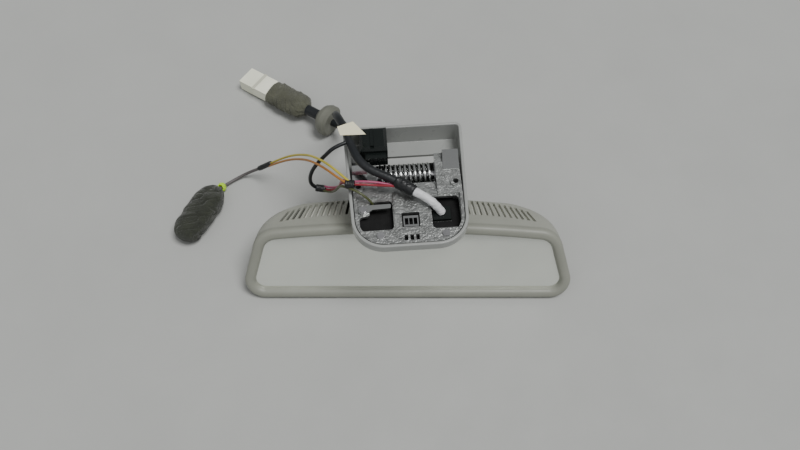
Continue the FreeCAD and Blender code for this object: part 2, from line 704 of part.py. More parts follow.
def housing():
    """Domed housing shell with its vent slots, arm opening and four screw bosses."""
    front = value("lip_deep+seam_gap")
    back = value("housing_deep")
    wall = value("housing_wall")
    outside = housing_solid(front, back, value("edge_gap"))
    shell = DOC.addObject("Part::Feature", "housing_shell")
    shell.Shape = outside.cut(housing_cavity(0))
    bosses = [primitive("Cylinder", f"housing_boss_{i}",
                        {"Radius": "screw_boss_r", "Height": f"{back - wall / 2}-spigot_deep"},
                        x, "spigot_deep", z, ALONG_Y)
              for i, (x, z) in enumerate(SCREW_PLACES)]
    DOC.recompute()
    rooted = DOC.addObject("Part::Feature", "housing_bosses")
    rooted.Shape = bosses[0].Shape.multiFuse([b.Shape for b in bosses[1:]]).common(outside)
    whole = combine("Fuse", "housing_whole", [shell, rooted])
    drills = [primitive("Cylinder", f"housing_drill_{i}",
                        {"Radius": "screw_r", "Height": "screw_long"},
                        x, "spigot_deep", z, ALONG_Y)
              for i, (x, z) in enumerate(SCREW_PLACES)]
    tools = combine("Fuse", "housing_cuts",
                    [vent_slots("vent_slots", "corner_top-16", "crown_top+2"), neck_opening(), *drills])
    return finished(cut("housing", whole, tools), "housing", HEAD)


def vent_baffle():
    """Curved strips under the vent slots, left out behind the slots that are open on the left side."""
    gap = value("baffle_gap")
    thick = value("baffle_thick")
    near = value("spigot_deep+edge_gap+0.2")
    far = value("vent_far+1")
    low = value("screw_high")
    strips = []
    for side, outer, inner in BAFFLE_SPANS:
        ends = [[value(x) for x in vent_line(side, number)[::2]] for number in (outer, inner)]
        corners = [Vector(x, y, low) for x, y in
                   ((ends[0][0], near), (ends[1][0], near), (ends[1][1], far), (ends[0][1], far))]
        plan = Part.Face(Part.makePolygon(corners + corners[:1]))
        strips.append(plan.extrude(Vector(0, 0, value("crown_top"))))
    boss_r = value("screw_boss_r+edge_gap")
    bosses = [Part.makeCylinder(boss_r, value("housing_deep"), Vector(value(x), 0, value(z)), Y_AXIS)
              for x, z in SCREW_PLACES]
    skin = housing_cavity(gap).cut(housing_cavity(gap + thick))
    shape = skin.common(strips[0].multiFuse(strips[1:])).cut(bosses[0].multiFuse(bosses[1:]))
    return solid_feature("vent_baffle", shape, HEAD)


# ---------------------------------------------------------------- ball joint and carrier

def shell_cup(label, inner, thick, mouth, placement):
    """Part of a hollow ball round the joint's centre, open in a cone about the arm."""
    outer = primitive("Sphere", f"{label}_outer", {"Radius": f"{inner}+{thick}"})
    hollow = primitive("Sphere", f"{label}_hollow", {"Radius": inner})
    reach = "2*socket_outer"
    cone = primitive("Cone", f"{label}_mouth",
                     {"Radius1": "0.01", "Radius2": f"({reach})*tan({mouth})", "Height": reach})
    tool = combine("Fuse", f"{label}_tools", [hollow, cone])
    return finished(cut(label, outer, tool), label, placement)


def ball_shells():
    """Nylon liner and spring cage, which turn on the ball inside the socket."""
    shell_cup("ball_liner", "liner_inner", "liner_thick", "liner_mouth", ARM)
    shell_cup("socket_cage", "cage_inner", "cage_thick", "cage_mouth", HEAD_BALL)


def carrier():
    """Carrier plate with the ball socket on its back and bosses for board and screws."""
    front = "glass_front+2*glass_thick+gel_thick+pad_thick"
    plate = head_plate("carrier_sheet", "glass_inset", front, "carrier_thick")
    plate.Placement = Placement()
    room = DOC.addObject("Part::Feature", "carrier_room")
    room.Shape = housing_cavity(value("edge_gap"))
    sheet = combine("Common", "carrier_trimmed", [plate, room])
    middle = ("0", "ball_deep", "ball_high")
    socket = primitive("Sphere", "socket_ball", {"Radius": "socket_outer"}, *middle)
    block = primitive("Cylinder", "socket_block",
                      {"Radius": "socket_outer*0.8", "Height": f"ball_deep-({front})"},
                      "0", front, "ball_high", ALONG_Y)
    posts = [primitive("Cylinder", f"board_post_{i}",
                       {"Radius": "post_r", "Height": f"board_front-({front})"}, x, front, z, ALONG_Y)
             for i, (x, z) in enumerate(BOARD_POSTS)]
    whole = combine("Fuse", "carrier_whole", [sheet, socket, block, *posts])
    hollow = primitive("Sphere", "socket_hollow", {"Radius": "socket_inner"}, *middle)
    mouth = primitive("Cone", "socket_cone",
                      {"Radius1": "0.01", "Radius2": "2*socket_outer*tan(socket_mouth)",
                       "Height": "2*socket_outer"}, *middle)
    # The pads in front stay flat: nothing of the ball's block reaches through the plate.
    face = primitive("Box", "carrier_face", {"Length": "4*socket_outer", "Width": "socket_outer",
                                             "Height": "4*socket_outer"},
                     "-2*socket_outer", f"({front})-socket_outer", "ball_high-2*socket_outer")
    drills = [primitive("Cylinder", f"carrier_drill_{i}",
                        {"Radius": "screw_r", "Height": "2*spigot_deep"}, x, "0", z, ALONG_Y)
              for i, (x, z) in enumerate(SCREW_PLACES)]
    tools = combine("Fuse", "carrier_cuts",
                    [hollow, mouth, face, below_floor("carrier_sole", "housing_wall+2*edge_gap"), *drills])
    return finished(cut("carrier_plate", whole, tools), "carrier_plate", HEAD)


def head_screws():
    """Four screws through the carrier plate into the housing's bosses, heads sunk in the plate."""
    front = "glass_front+2*glass_thick+gel_thick+pad_thick"
    screws = [primitive("Cylinder", f"head_screw_{i}",
                        {"Radius": "screw_r", "Height": "carrier_thick+screw_long-1"},
                        x, f"{front}+0.2", z, ALONG_Y)
              for i, (x, z) in enumerate(SCREW_PLACES)]
    return finished(combine("Fuse", "housing_screws", screws), "housing_screws", HEAD)


def electronics():
    """Circuit board with its chips, capacitors and plug, the two light sensors, the microphone."""
    board = primitive("Box", "board_sheet", {"Length": "board_long", "Width": "board_thick",
                                             "Height": "board_high"},
                      "board_x", "board_front", "board_z")
    holes = [primitive("Cylinder", f"board_hole_{i}", {"Radius": "1", "Height": "3*board_thick"},
                       x, "board_front-board_thick", z, ALONG_Y)
             for i, (x, z) in enumerate(BOARD_POSTS)]
    finished(cut("circuit_board", board, combine("Fuse", "board_holes", holes)), "circuit_board", HEAD)
    back = "board_front+board_thick"
    chips = [primitive("Box", f"chip_{i}", {"Length": "chip_wide", "Width": "chip_thick",
                                            "Height": "chip_wide"},
                       f"board_x+{3 + 10 * i}", back, "board_z+13")
             for i in range(3)]
    finished(combine("Fuse", "board_chips", chips), "board_chips", HEAD)
    cans = [primitive("Cylinder", f"can_{i}", {"Radius": "can_r", "Height": "can_high"},
                      f"board_x+{11 + 8 * i}", back, "board_z+6", ALONG_Y)
            for i in range(3)]
    finished(combine("Fuse", "board_capacitors", cans), "board_capacitors", HEAD)
    shell = primitive("Box", "board_plug_block", {"Length": "12", "Width": "7", "Height": "8"},
                      "board_x+2", back, "board_z+23.5")
    slot = primitive("Box", "board_plug_slot", {"Length": "9.6", "Width": "4.6", "Height": "6"},
                     "board_x+3.2", f"{back}+1.2", "board_z+26.5")
    finished(cut("board_connector", shell, slot), "board_connector", HEAD)
    front = "glass_front+2*glass_thick+gel_thick+pad_thick+carrier_thick"
    finished(primitive("Cylinder", "glare_sensor", {"Radius": "2.5", "Height": "3.5"},
                       "-26", front, "20", ALONG_Y), "glare_sensor", HEAD)
    finished(primitive("Cylinder", "ambient_sensor", {"Radius": "2.5", "Height": "6"},
                       "board_x+board_long-8", back, "board_z+26", ALONG_Y), "ambient_sensor", HEAD)
    capsule = primitive("Cylinder", "mic_body", {"Radius": "mic_r", "Height": "mic_high"},
                        "-vent_outer+2*vent_pitch", "(vent_near+vent_far)/2",
                        "corner_top-housing_wall-8-mic_high")
    finished(capsule, "microphone", HEAD)
    boot = primitive("Cylinder", "boot_body", {"Radius": "mic_r+1.5", "Height": "mic_high+1.5"},
                     "-vent_outer+2*vent_pitch", "(vent_near+vent_far)/2",
                     "corner_top-housing_wall-9.5-mic_high")
    hollow = primitive("Cylinder", "boot_hollow", {"Radius": "mic_r", "Height": "mic_high+1"},
                       "-vent_outer+2*vent_pitch", "(vent_near+vent_far)/2",
                       "corner_top-housing_wall-8-mic_high")
    finished(cut("microphone_boot", boot, hollow), "microphone_boot", HEAD)


# ---------------------------------------------------------------- arm and pivot

def arm():
    """Die-cast arm: a stem on the ball stud and a fork that straddles the spring."""
    pieces = [
        primitive("Cone", "arm_stem", {"Radius1": "stem_low_r", "Radius2": "stem_top_r",
                                       "Height": "yoke_low-stem_low+1"}, z="stem_low"),
        primitive("Box", "arm_yoke", {"Length": "2*(ear_inner+ear_thick)", "Width": "2*yoke_half_deep",
                                      "Height": "yoke_thick"},
                  "-ear_inner-ear_thick", "-yoke_half_deep", "yoke_low"),
    ]
    holes = [primitive("Cylinder", "arm_shank_hole", {"Radius": "shank_r", "Height": "shank_long"},
                       z="stem_low"),
             primitive("Cylinder", "arm_shaft_hole", {"Radius": "shaft_r+shaft_play",
                                                      "Height": "4*shaft_half"},
                       "-2*shaft_half", "0", "arm_reach", ALONG_X)]
    for name, x in (("left", "-ear_inner-ear_thick"), ("right", "ear_inner")):
        pieces.append(primitive("Box", f"ear_{name}",
                                {"Length": "ear_thick", "Width": "2*yoke_half_deep",
                                 "Height": "arm_reach-yoke_low"}, x, "-yoke_half_deep", "yoke_low"))
        pieces.append(primitive("Cylinder", f"ear_eye_{name}", {"Radius": "ear_r", "Height": "ear_thick"},
                                x, "0", "arm_reach", ALONG_X))
    whole = combine("Fuse", "arm_whole", pieces)
    return finished(cut("arm", whole, combine("Fuse", "arm_holes", holes)), "arm", ARM)


def arm_shroud(fork):
    """Dust shield under the spring: part of a tube round the shaft that rests on the arm's yoke."""
    half = "(ear_inner-shroud_side)"
    turned = Rotation(X_AXIS, -value("lean_angle+shroud_near")).multiply(ALONG_X)
    outer = primitive("Cylinder", "shroud_outer",
                      {"Radius": "shroud_r+shroud_thick", "Height": f"2*{half}", "Angle": "shroud_turn"},
                      f"-{half}", PIVOT_Y, PIVOT_Z, turned)
    inner = primitive("Cylinder", "shroud_inner", {"Radius": "shroud_r", "Height": f"4*{half}"},
                      f"-2*{half}", PIVOT_Y, PIVOT_Z, ALONG_X)
    return finished(cut("arm_shroud", cut("shroud_shell", outer, inner), fork), "arm_shroud")


def ball_stud():
    """Turned steel ball on a neck, with a shank pressed into the arm."""
    owner = body("ball_stud", ARM)
    drawing = sketch(owner, "stud_half", "XZ_Plane")
    start = "-ball_r"
    corners = (("0", "stem_low+shank_long"), ("0", start), ("neck_r", "sqrt(ball_r^2-neck_r^2)"),
               ("neck_r", "stem_low"), ("shank_r", "stem_low"), ("shank_r", "stem_low+shank_long"))
    spots = [Vector(value(x), value(z), 0) for x, z in corners]
    ball = Part.Arc(spots[1], Vector(value("ball_r"), 0, 0), spots[2])
    drawing.addGeometry(Part.LineSegment(spots[0], spots[1]), False)
    drawing.addGeometry(ball, False)
    for start_spot, end_spot in zip(spots[2:], spots[3:] + spots[:1]):
        drawing.addGeometry(Part.LineSegment(start_spot, end_spot), False)
    for i, (x, z) in enumerate(corners):
        if i != 1:
            fix_point(drawing, i, 1, x, z)
    joins = ((0, 2, 1, 1), (1, 2, 2, 1), (2, 2, 3, 1), (3, 2, 4, 1), (4, 2, 5, 1), (5, 2, 0, 1))
    for rule in joins:
        drawing.addConstraint(Sketcher.Constraint("Coincident", *rule))
    fix_point(drawing, 1, 3, "0", "0")
    turned = owner.newObject("PartDesign::Revolution", "stud_turned")
    turned.Profile = drawing
    turned.ReferenceAxis = (drawing, ["V_Axis"])
    turned.Angle = 360
    DOC.recompute()
    return finished(owner, "ball_stud")


def ring_on_shaft(name, x, inner, outer, thick):
    """Flat ring round the pivot shaft."""
    solid = primitive("Cylinder", f"{name}_solid", {"Radius": outer, "Height": thick},
                      x, PIVOT_Y, PIVOT_Z, ALONG_X)
    hole = primitive("Cylinder", f"{name}_hole", {"Radius": inner, "Height": f"3*({thick})"},
                     f"({x})-({thick})", PIVOT_Y, PIVOT_Z, ALONG_X)
    return cut(name, solid, hole)


def pivot():
    """Pivot shaft with its spring, washers and end clips."""
    shaft = primitive("Cylinder", "shaft_rod", {"Radius": "shaft_r", "Height": "2*shaft_half"},
                      "-shaft_half", PIVOT_Y, PIVOT_Z, ALONG_X)
    grooves = [ring_on_shaft(f"shaft_groove_{name}", x, "shaft_r-groove_deep", "shaft_r+1", "clip_thick")
               for name, x in (("left", "-clip_x-clip_thick"), ("right", "clip_x"))]
    finished(cut("pivot_shaft", shaft, combine("Fuse", "shaft_grooves", grooves)), "pivot_shaft")
    clips = [ring_on_shaft(f"shaft_clip_{name}", x, "shaft_r-groove_deep", "clip_r", "clip_thick")
             for name, x in (("left", "-clip_x-clip_thick"), ("right", "clip_x"))]
    slots = [primitive("Box", f"clip_slot_{name}", {"Length": "3*clip_thick", "Width": "2*(shaft_r-0.8)",
                                                    "Height": "2*clip_r"},
                       f"{x}-clip_thick", f"{PIVOT_Y}-shaft_r+0.8", PIVOT_Z)
             for name, x in (("left", "-clip_x-clip_thick"), ("right", "clip_x"))]
    finished(cut("shaft_clips", combine("Fuse", "clip_rings", clips),
                 combine("Fuse", "clip_slots", slots)), "shaft_clips")
    washers = [ring_on_shaft(f"washer_{name}", x, "shaft_r+shaft_play", "washer_r", "washer_thick")
               for name, x in (("left", "-ear_inner+washer_gap"),
                               ("right", "ear_inner-washer_gap-washer_thick"))]
    finished(combine("Fuse", "spring_washers", washers), "spring_washers")
    half = "(ear_inner-2*washer_gap-washer_thick-spring_wire_r)"
    coil = DOC.addObject("Part::Helix", "spring_line")
    bind(coil, Pitch="spring_pitch", Height=f"2*{half}", Radius="spring_r")
    place(coil, f"-{half}", PIVOT_Y, PIVOT_Z, ALONG_X)
    wire = DOC.addObject("Part::Circle", "spring_section")
    bind(wire, Radius="spring_wire_r")
    place(wire, f"-{half}", PIVOT_Y, f"{PIVOT_Z}-spring_r", Rotation(X_AXIS, 90))
    DOC.recompute()
    spring = DOC.addObject("Part::Sweep", "pivot_spring")
    spring.Sections = [wire]
    spring.Spine = (coil, [])
    spring.Solid = True
    spring.Frenet = True
    finished(spring, "pivot_spring")


# ---------------------------------------------------------------- mount: cover and frame

def cover_half(y):
    """Half width of the cover at a place along it."""
    return f"(cover_near_half+(cover_far_half-cover_near_half)*(({y})+cover_near)/(cover_near+cover_far))"


def cover_floor(y):
    """Depth of the cover's underside below the fixing plane at a place along it."""
    return f"(near_deep+(far_deep-near_deep)*(({y})+cover_near)/(cover_near+cover_far))"


def cover_outline(drawing, inset, far):
    """Draw the cover's tapered outline, moved inwards by an inset, up to a far edge."""
    near = f"-(cover_near-({inset}))"
    wide = f"({cover_half(far)}-({inset}))"
    narrow = f"({cover_half(near)}-({inset}))"
    return polygon(drawing, ((f"-{wide}", far), (f"-{narrow}", near), (narrow, near), (wide, far)))


def cover():
    """Shallow tub round the frame: deeper at the far end, with a port for the arm in its floor."""
    owner = body("mount_cover")
    outline = cover_outline(sketch(owner, "cover_outline", "XY_Plane"), "0", "cover_far")
    base = pad(owner, outline, "far_deep", backwards=True)
    base = corner_fillet(owner, base, Z_AXIS, "near_corner_r", lambda p: p.y < 0)
    corner_fillet(owner, base, Z_AXIS, "far_corner_r", lambda p: p.y > 0)
    wedge = polygon(sketch(owner, "cover_wedge", "YZ_Plane"),
                    (("-cover_near-1", f"-{cover_floor('-cover_near-1')}"),
                     ("cover_far+1", f"-{cover_floor('cover_far+1')}"),
                     ("cover_far+1", "-far_deep-2"), ("-cover_near-1", "-far_deep-2")))
    base = pocket(owner, wedge, both=True)
    flat = [f"Edge{i}" for i, edge in enumerate(base.Shape.Edges, start=1)
            if edge.CenterOfMass.z < -value("near_deep") + 1
            and all(v.Point.z < -value("near_deep") + 1 for v in edge.Vertexes)]
    base = fillet(owner, base, flat, "cover_round")
    hollow = owner.newObject("PartDesign::Thickness", "cover_hollow")
    top = next(f"Face{i}" for i, face in enumerate(base.Shape.Faces, start=1)
               if abs(face.CenterOfMass.z) < 1e-6 and face.normalAt(0, 0).z > 0.99)
    hollow.Base = (base, [top])
    hollow.Reversed = True
    hollow.Join = 1
    bind(hollow, Value="cover_wall")
    DOC.recompute()
    rim = [f"Edge{i}" for i, edge in enumerate(hollow.Shape.Edges, start=1)
           if all(abs(v.Point.z) < 1e-6 for v in edge.Vertexes)]
    base = fillet(owner, hollow, rim, "rim_round")
    port = rectangle(sketch(owner, "cover_port", "XY_Plane", "-plate_top"),
                     "-port_half", "port_near", "port_half", "port_far")
    base = pocket(owner, port)
    corner_fillet(owner, base, Z_AXIS, "port_corner_r",
                  lambda p: abs(abs(p.x) - value("port_half")) < 1e-3)
    return finished(owner, "mount_cover")


def floor_lining():
    """Felt on the cover's floor under the frame, cut out round the screws and what stands there."""
    inset = "(cover_wall+lining_gap)"
    sheet = body("lining_sheet")
    outline = cover_outline(sketch(sheet, "lining_outline", "XY_Plane"), inset, "lining_far")
    base = pad(sheet, outline, "far_deep", backwards=True)
    corner_fillet(sheet, base, Z_AXIS, f"near_corner_r-{inset}",
                  lambda p: p.y < -value("cover_near") / 2)
    slab = body("lining_slab")
    ends = ("-cover_near", "lining_far+1")
    low = [(y, f"-({cover_floor(y)}-1.01*cover_wall)") for y in ends]
    high = [(y, f"{z}+lining_thick") for y, z in reversed(low)]
    side = polygon(sketch(slab, "lining_side", "YZ_Plane", "-cover_far_half"), [*low, *high])
    pad(slab, side, "2*cover_far_half")
    tools = [primitive("Cylinder", f"lining_hole_{i}", {"Radius": "screw_r+edge_gap", "Height": "far_deep"},
                       x, y, "-far_deep")
             for i, (x, y) in enumerate(FRAME_SCREWS)]
    for name, x, y, wide, long in (
            ("plug", "bundle_left", "-bundle_near", "bundle_wide", "bundle_long"),
            ("socket", LEAD_SOCKET[0], LEAD_SOCKET[1], "socket_l", "socket_w")):
        tools.append(primitive("Box", f"lining_{name}_hole",
                               {"Length": f"{wide}+2*edge_gap", "Width": f"{long}+2*edge_gap",
                                "Height": "far_deep"}, f"{x}-edge_gap", f"{y}-edge_gap", "-far_deep"))
    felt = combine("Common", "lining_felt", [sheet, slab])
    finished(cut("floor_lining", felt, combine("Fuse", "lining_holes", tools)), "floor_lining")


def block(owner, name, corners, top, thick):
    """Pad a polygon downwards from a depth below the fixing plane."""
    return pad(owner, polygon(sketch(owner, name, "XY_Plane", f"-({top})"), corners), thick,
               backwards=True)


def box_corners(x0, y0, x1, y1):
    """Corners of an upright rectangle."""
    return ((x0, y0), (x1, y0), (x1, y1), (x0, y1))


def frame_rim(inset):
    """Upstanding rim round the near end of the frame's plate."""
    rings = []
    for name, step, far in (("rim_outside", "0", "-pillar_near"), ("rim_inside", "rim_wide", "0")):
        owner = body(name)
        drawing = cover_outline(sketch(owner, f"{name}_outline", "XY_Plane", "-rim_top"),
                                f"{inset}+{step}", far)
        base = pad(owner, drawing, "plate_top-rim_top+0.5", backwards=True)
        corner_fillet(owner, base, Z_AXIS, f"near_corner_r-({inset})-{step}",
                      lambda p: p.y < -value("cover_near") / 2)
        rings.append(owner)
    return cut("frame_rim", *rings)


def frame():
    """Die-cast frame: a windowed plate with a rim, two pillars with fixing holes, and the shaft's ears."""
    owner = body("frame_casting")
    inset = "cover_wall+frame_gap"
    corner = f"near_corner_r-({inset})"
    drawing = cover_outline(sketch(owner, "frame_plate", "XY_Plane", "-plate_top"), inset, "-plate_far")
    base = pad(owner, drawing, "plate_thick", backwards=True)
    corner_fillet(owner, base, Z_AXIS, corner, lambda p: p.y < -value("cover_near") / 2)
    side = f"({cover_half('-pillar_near')}-({inset}))"
    for name, sign in (("left", -1), ("right", 1)):
        far = "pillar_far" if sign > 0 else "bridge_far_left"
        block(owner, f"pillar_{name}",
              box_corners(f"{sign}*pillar_inner", "-pillar_near", f"{sign}*{side}", "pillar_far"),
              "bridge_top", "pillar_low-bridge_top")
        block(owner, f"bridge_{name}",
              box_corners(f"{sign}*bridge_inner", "-pillar_near", f"{sign}*{side}", far),
              "bridge_top", "bridge_thick")
        boss = circle(sketch(owner, f"boss_{name}", "XY_Plane"), f"{sign}*hole_apart/2", "0", "boss_r")
        pad(owner, boss, "bridge_top+1", backwards=True)
    shelf = box_corners("-shelf_half", "-plate_far-1", "shelf_half", "shelf_far")
    block(owner, "shelf", shelf, "shelf_top", "plate_thick")
    block(owner, "shelf_step", box_corners("-shelf_half", "-plate_far-2", "shelf_half", "-plate_far"),
          "plate_top+plate_thick-0.5", "shelf_top-plate_top")
    block(owner, "raised_middle", box_corners("-pad_left", "-pad_near", "pad_right", "-pad_far"),
          "plate_top-pad_high", "pad_high+plate_thick/2")
    block(owner, "sill", box_corners("-pad_left", "-sill_near", "sill_right", "-pad_near+0.5"),
          "plate_top-sill_high", "sill_high+plate_thick/2")
    windows = (
        ("window_left", (("-36.5", "-36"), ("-12", "-36"), ("-12", "-12"), ("-29", "-12"),
                         ("-29", "-24"), ("-36.5", "-24"))),
        ("window_right", (("16", "-37"), ("37", "-37"), ("37", "-10.5"), ("16", "-10.5"))),
        ("window_middle", box_corners("-6", "-35", "7", "-23")),
    )
    for name, corners in windows:
        cut_out = pocket(owner, polygon(sketch(owner, name, "XY_Plane", "-rim_top"), corners))
        places = [(value(x), value(y)) for x, y in corners]
        corner_fillet(owner, cut_out, Z_AXIS, "window_r" if name != "window_middle" else "window_r/3",
                      lambda p: any(math.hypot(p.x - x, p.y - y) < 1e-3 for x, y in places))
    teeth = sketch(owner, "teeth", "XY_Plane", "-rim_top")
    for i in range(3):
        rectangle(teeth, f"{-5.2 + 4.2 * i}", "-45.5", f"{-2.6 + 4.2 * i}", "-41")
    pocket(owner, teeth)
    holes = sketch(owner, "fixing_holes", "XY_Plane", "1")
    for sign in (-1, 1):
        circle(holes, f"{sign}*hole_apart/2", "0", "hole_r")
    pocket(owner, holes)
    pins = sketch(owner, "frame_pin_holes", "XY_Plane")
    circle(pins, "-lever_x", "-lever_y", "lever_pin_r")
    for x, y in FRAME_SCREWS:
        circle(pins, x, y, "screw_r")
    pocket(owner, pins)
    ears = [primitive("Cylinder", f"bracket_eye_{name}",
                      {"Radius": "bracket_ear_r", "Height": "bracket_ear_thick"},
                      x, PIVOT_Y, PIVOT_Z, ALONG_X)
            for name, x in (("left", "-bracket_x-bracket_ear_thick"), ("right", "bracket_x"))]
    ears += [primitive("Box", f"bracket_ear_{name}",
                       {"Length": "bracket_ear_thick", "Width": "2*bracket_ear_r",
                        "Height": f"-bridge_top-bridge_thick/2-{PIVOT_Z}"},
                       x, f"{PIVOT_Y}-bracket_ear_r", PIVOT_Z)
             for name, x in (("left", "-bracket_x-bracket_ear_thick"), ("right", "bracket_x"))]
    bore = primitive("Cylinder", "bracket_bore", {"Radius": "shaft_r", "Height": "4*shaft_half"},
                     "-2*shaft_half", PIVOT_Y, PIVOT_Z, ALONG_X)
    return finished(cut("mount_frame", combine("Fuse", "frame_whole", [owner, frame_rim(inset), *ears]), bore),
                    "mount_frame")


def frame_screws():
    """Screws that hold the frame down in the cover."""
    screws = []
    for i, (x, y) in enumerate(FRAME_SCREWS):
        low = f"-({cover_floor(y)}-cover_wall-0.3)"
        screws.append(primitive("Cylinder", f"frame_screw_{i}",
                                {"Radius": "screw_r", "Height": f"-plate_top-({low})"}, x, y, low))
        screws.append(primitive("Cylinder", f"frame_screw_head_{i}",
                                {"Radius": "1.8*screw_r", "Height": "screw_r"}, x, y, "-plate_top"))
    return finished(combine("Fuse", "frame_screws", screws), "frame_screws")


def lock_lever():
    """Bright lever across the left window, and the pin it turns on."""
    owner = body("lock_lever")
    high = "-plate_top+lever_gap"
    corners = (("-lever_x-3.6", "-lever_y-1"), ("-lever_x-1", "-lever_y-4"), ("-lever_x+3", "-lever_y-2.6"),
               ("-lever_x+7", "-lever_y"), ("-lever_x+20", "-lever_y+0.5"), ("-lever_x+20.5", "-lever_y+4"),
               ("-lever_x+2", "-lever_y+4"), ("-lever_x-3", "-lever_y+3"))
    base = pad(owner, polygon(sketch(owner, "lever_plate", "XY_Plane", high), corners), "lever_thick")
    corner_fillet(owner, base, Z_AXIS, "0.9", lambda p: True)
    hole = circle(sketch(owner, "lever_hole", "XY_Plane", f"{high}+lever_thick"),
                  "-lever_x", "-lever_y", "lever_pin_r+shaft_play")
    pocket(owner, hole)
    finished(owner, "lock_lever")
    shank = primitive("Cylinder", "lever_pin_shank",
                      {"Radius": "lever_pin_r", "Height": "plate_thick+2*lever_gap+lever_thick"},
                      "-lever_x", "-lever_y", "-plate_top-plate_thick")
    head = primitive("Cylinder", "lever_pin_head", {"Radius": "1.7*lever_pin_r", "Height": "0.9"},
                     "-lever_x", "-lever_y", "-plate_top+2*lever_gap+lever_thick")
    finished(combine("Fuse", "lever_pin", [shank, head]), "lever_pin")


def retaining_clip(label, x, y, wide):
    """Bent spring-steel strip on a pillar: a flat foot, a ramp and a hooked end."""
    owner = body(label)
    drawing = sketch(owner, f"{label}_side", "YZ_Plane", x)
    foot = "-bridge_top"
    steel = "sheet_thick"
    hook = f"{y}+clip_reach"
    crest = f"{foot}+clip_rise"
    corners = ((y, foot), (f"{hook}-8", foot), (f"{hook}-3.5", crest), (f"{hook}-1", f"{crest}-{steel}"),
               (hook, f"{foot}+0.5"), (f"{hook}+{steel}", f"{foot}+0.5"),
               (hook, crest), (f"{hook}-3.5", f"{crest}+{steel}*1.3"),
               (f"{hook}-8.4", f"{foot}+{steel}"), (y, f"{foot}+{steel}"))
    pad(owner, polygon(drawing, corners), wide)
    return finished(owner, label)


def small_mount_parts():
    """Clip in the middle window, the harness plug and its latch, and the bundle's plug."""
    outer = primitive("Box", "middle_clip_block",
                      {"Length": "clip_block_wide", "Width": "clip_block_long", "Height": "clip_block_high"},
                      "0.5-clip_block_wide/2", "-34.6", "-plate_top-2")
    slots = [primitive("Box", f"middle_clip_slot_{i}",
                       {"Length": "clip_slot_wide", "Width": "0.6*clip_block_long",
                        "Height": "3*clip_block_high"},
                       f"0.5+({i}-1)*clip_slot_pitch-clip_slot_wide/2", "-33", "-plate_top-3")
             for i in range(3)]
    finished(cut("middle_clip", outer, combine("Fuse", "middle_clip_slots", slots)), "middle_clip")
    plug_floor = f"-({cover_floor('plug_near')}-cover_wall)+0.3"
    shell = primitive("Box", "plug_block", {"Length": "plug_wide", "Width": "plug_long",
                                            "Height": f"plug_top-({plug_floor})"},
                      "-plug_left", "plug_near", plug_floor)
    shaved = DOC.addObject("Part::Chamfer", "plug_shaved")
    shaved.Base = shell
    DOC.recompute()
    tops = edges_at(shell.Shape, Z_AXIS, value("plug_top"))
    shaved.Edges = [(i, value("plug_bevel"), value("plug_bevel")) for i in tops]
    step = primitive("Box", "plug_step", {"Length": "plug_wide-5", "Width": "7", "Height": "9"},
                     "-plug_left+4", "plug_near-5", "-9")
    whole = combine("Fuse", "plug_whole", [shaved, step])
    groove = primitive("Box", "plug_groove", {"Length": "plug_groove_wide", "Width": "plug_long",
                                              "Height": "3*plug_groove_deep"},
                       "-plug_left+8", "plug_near", "plug_top-plug_groove_deep")
    finished(cut("harness_plug", whole, groove), "harness_plug")
    latch = primitive("Box", "plug_latch_bar", {"Length": "plug_groove_wide-2*latch_gap",
                                                "Width": "0.7*plug_long", "Height": "1.5*plug_groove_deep"},
                      "-plug_left+8+latch_gap", "plug_near+3", "plug_top-plug_groove_deep")
    finished(latch, "plug_latch")
    plug_low = f"-({cover_floor('-bundle_near')}-cover_wall)"
    finished(primitive("Box", "bundle_block", {"Length": "bundle_wide", "Width": "bundle_long",
                                               "Height": f"-bundle_top-({plug_low})"},
                       "bundle_left", "-bundle_near", plug_low), "bundle_plug")


# ---------------------------------------------------------------- wiring

# Hand-chosen points of each cord, from the end at the mount outwards.
LOOM_ROUTE = (
    (-5.0, -4.1, 6.9), (-13.5, 1.2, 8.2), (-22.0, 5.2, 9.2), (-30.0, 10.6, 10.0),
    (-35.6, 18.4, 10.4), (-38.8, 28.0, 10.2), (-41.6, 38.0, 10.6), (-45.0, 48.5, 11.4),
    (-48.4, 58.4, 8.4), (-50.0, 67.4, 0.2), (-50.0, 75.4, -12.4), (-48.6, 82.6, -27.0),
    (-47.2, 87.2, -36.8), (-45.8, 93.4, -48.2), (-45.3, 100.0, -60.2), (-48.3, 106.3, -67.4),
    (-54.29, 113.0, -71.76), (-69.04, 124.88, -73.5), (-77.57, 131.75, -74.16),
)
BRANCH_ROUTE = (
    (-41.0, 33.8, 10.2), (-51.4, 29.9, 10.4), (-58.6, 28.0, 3.5), (-65.9, 28.7, -8.0),
    (-71.5, 29.4, -20.0), (-74.1, 29.6, -32.0), (-72.3, 29.8, -42.0), (-66.7, 30.7, -47.0),
)
RED_ROUTE = (
    (-66.0, 30.0, -46.0), (-60.6, 27.0, -44.4), (-55.6, 21.6, -35.8), (-51.8, 14.4, -22.6),
    (-49.8, 8.4, -9.6), (-48.0, 3.4, 2.6), (-41.8, -1.6, 5.9), (-33.0, -2.8, 7.0),
    (-23.0, -3.6, 6.0), (-14.0, -5.0, 6.6), (-6.5, -6.2, 6.6),
)
PINK_ROUTE = (
    (-66.2, 31.4, -44.4), (-59.6, 28.4, -42.6), (-54.2, 22.8, -34.4), (-50.4, 15.8, -21.6),
    (-49.0, 9.8, -8.4), (-47.6, 5.4, 2.8), (-41.2, 0.4, 6.4), (-32.0, -0.8, 8.0),
    (-22.0, -1.6, 6.7), (-13.0, -3.2, 5.2), (-6.0, -5.0, 4.9),
)
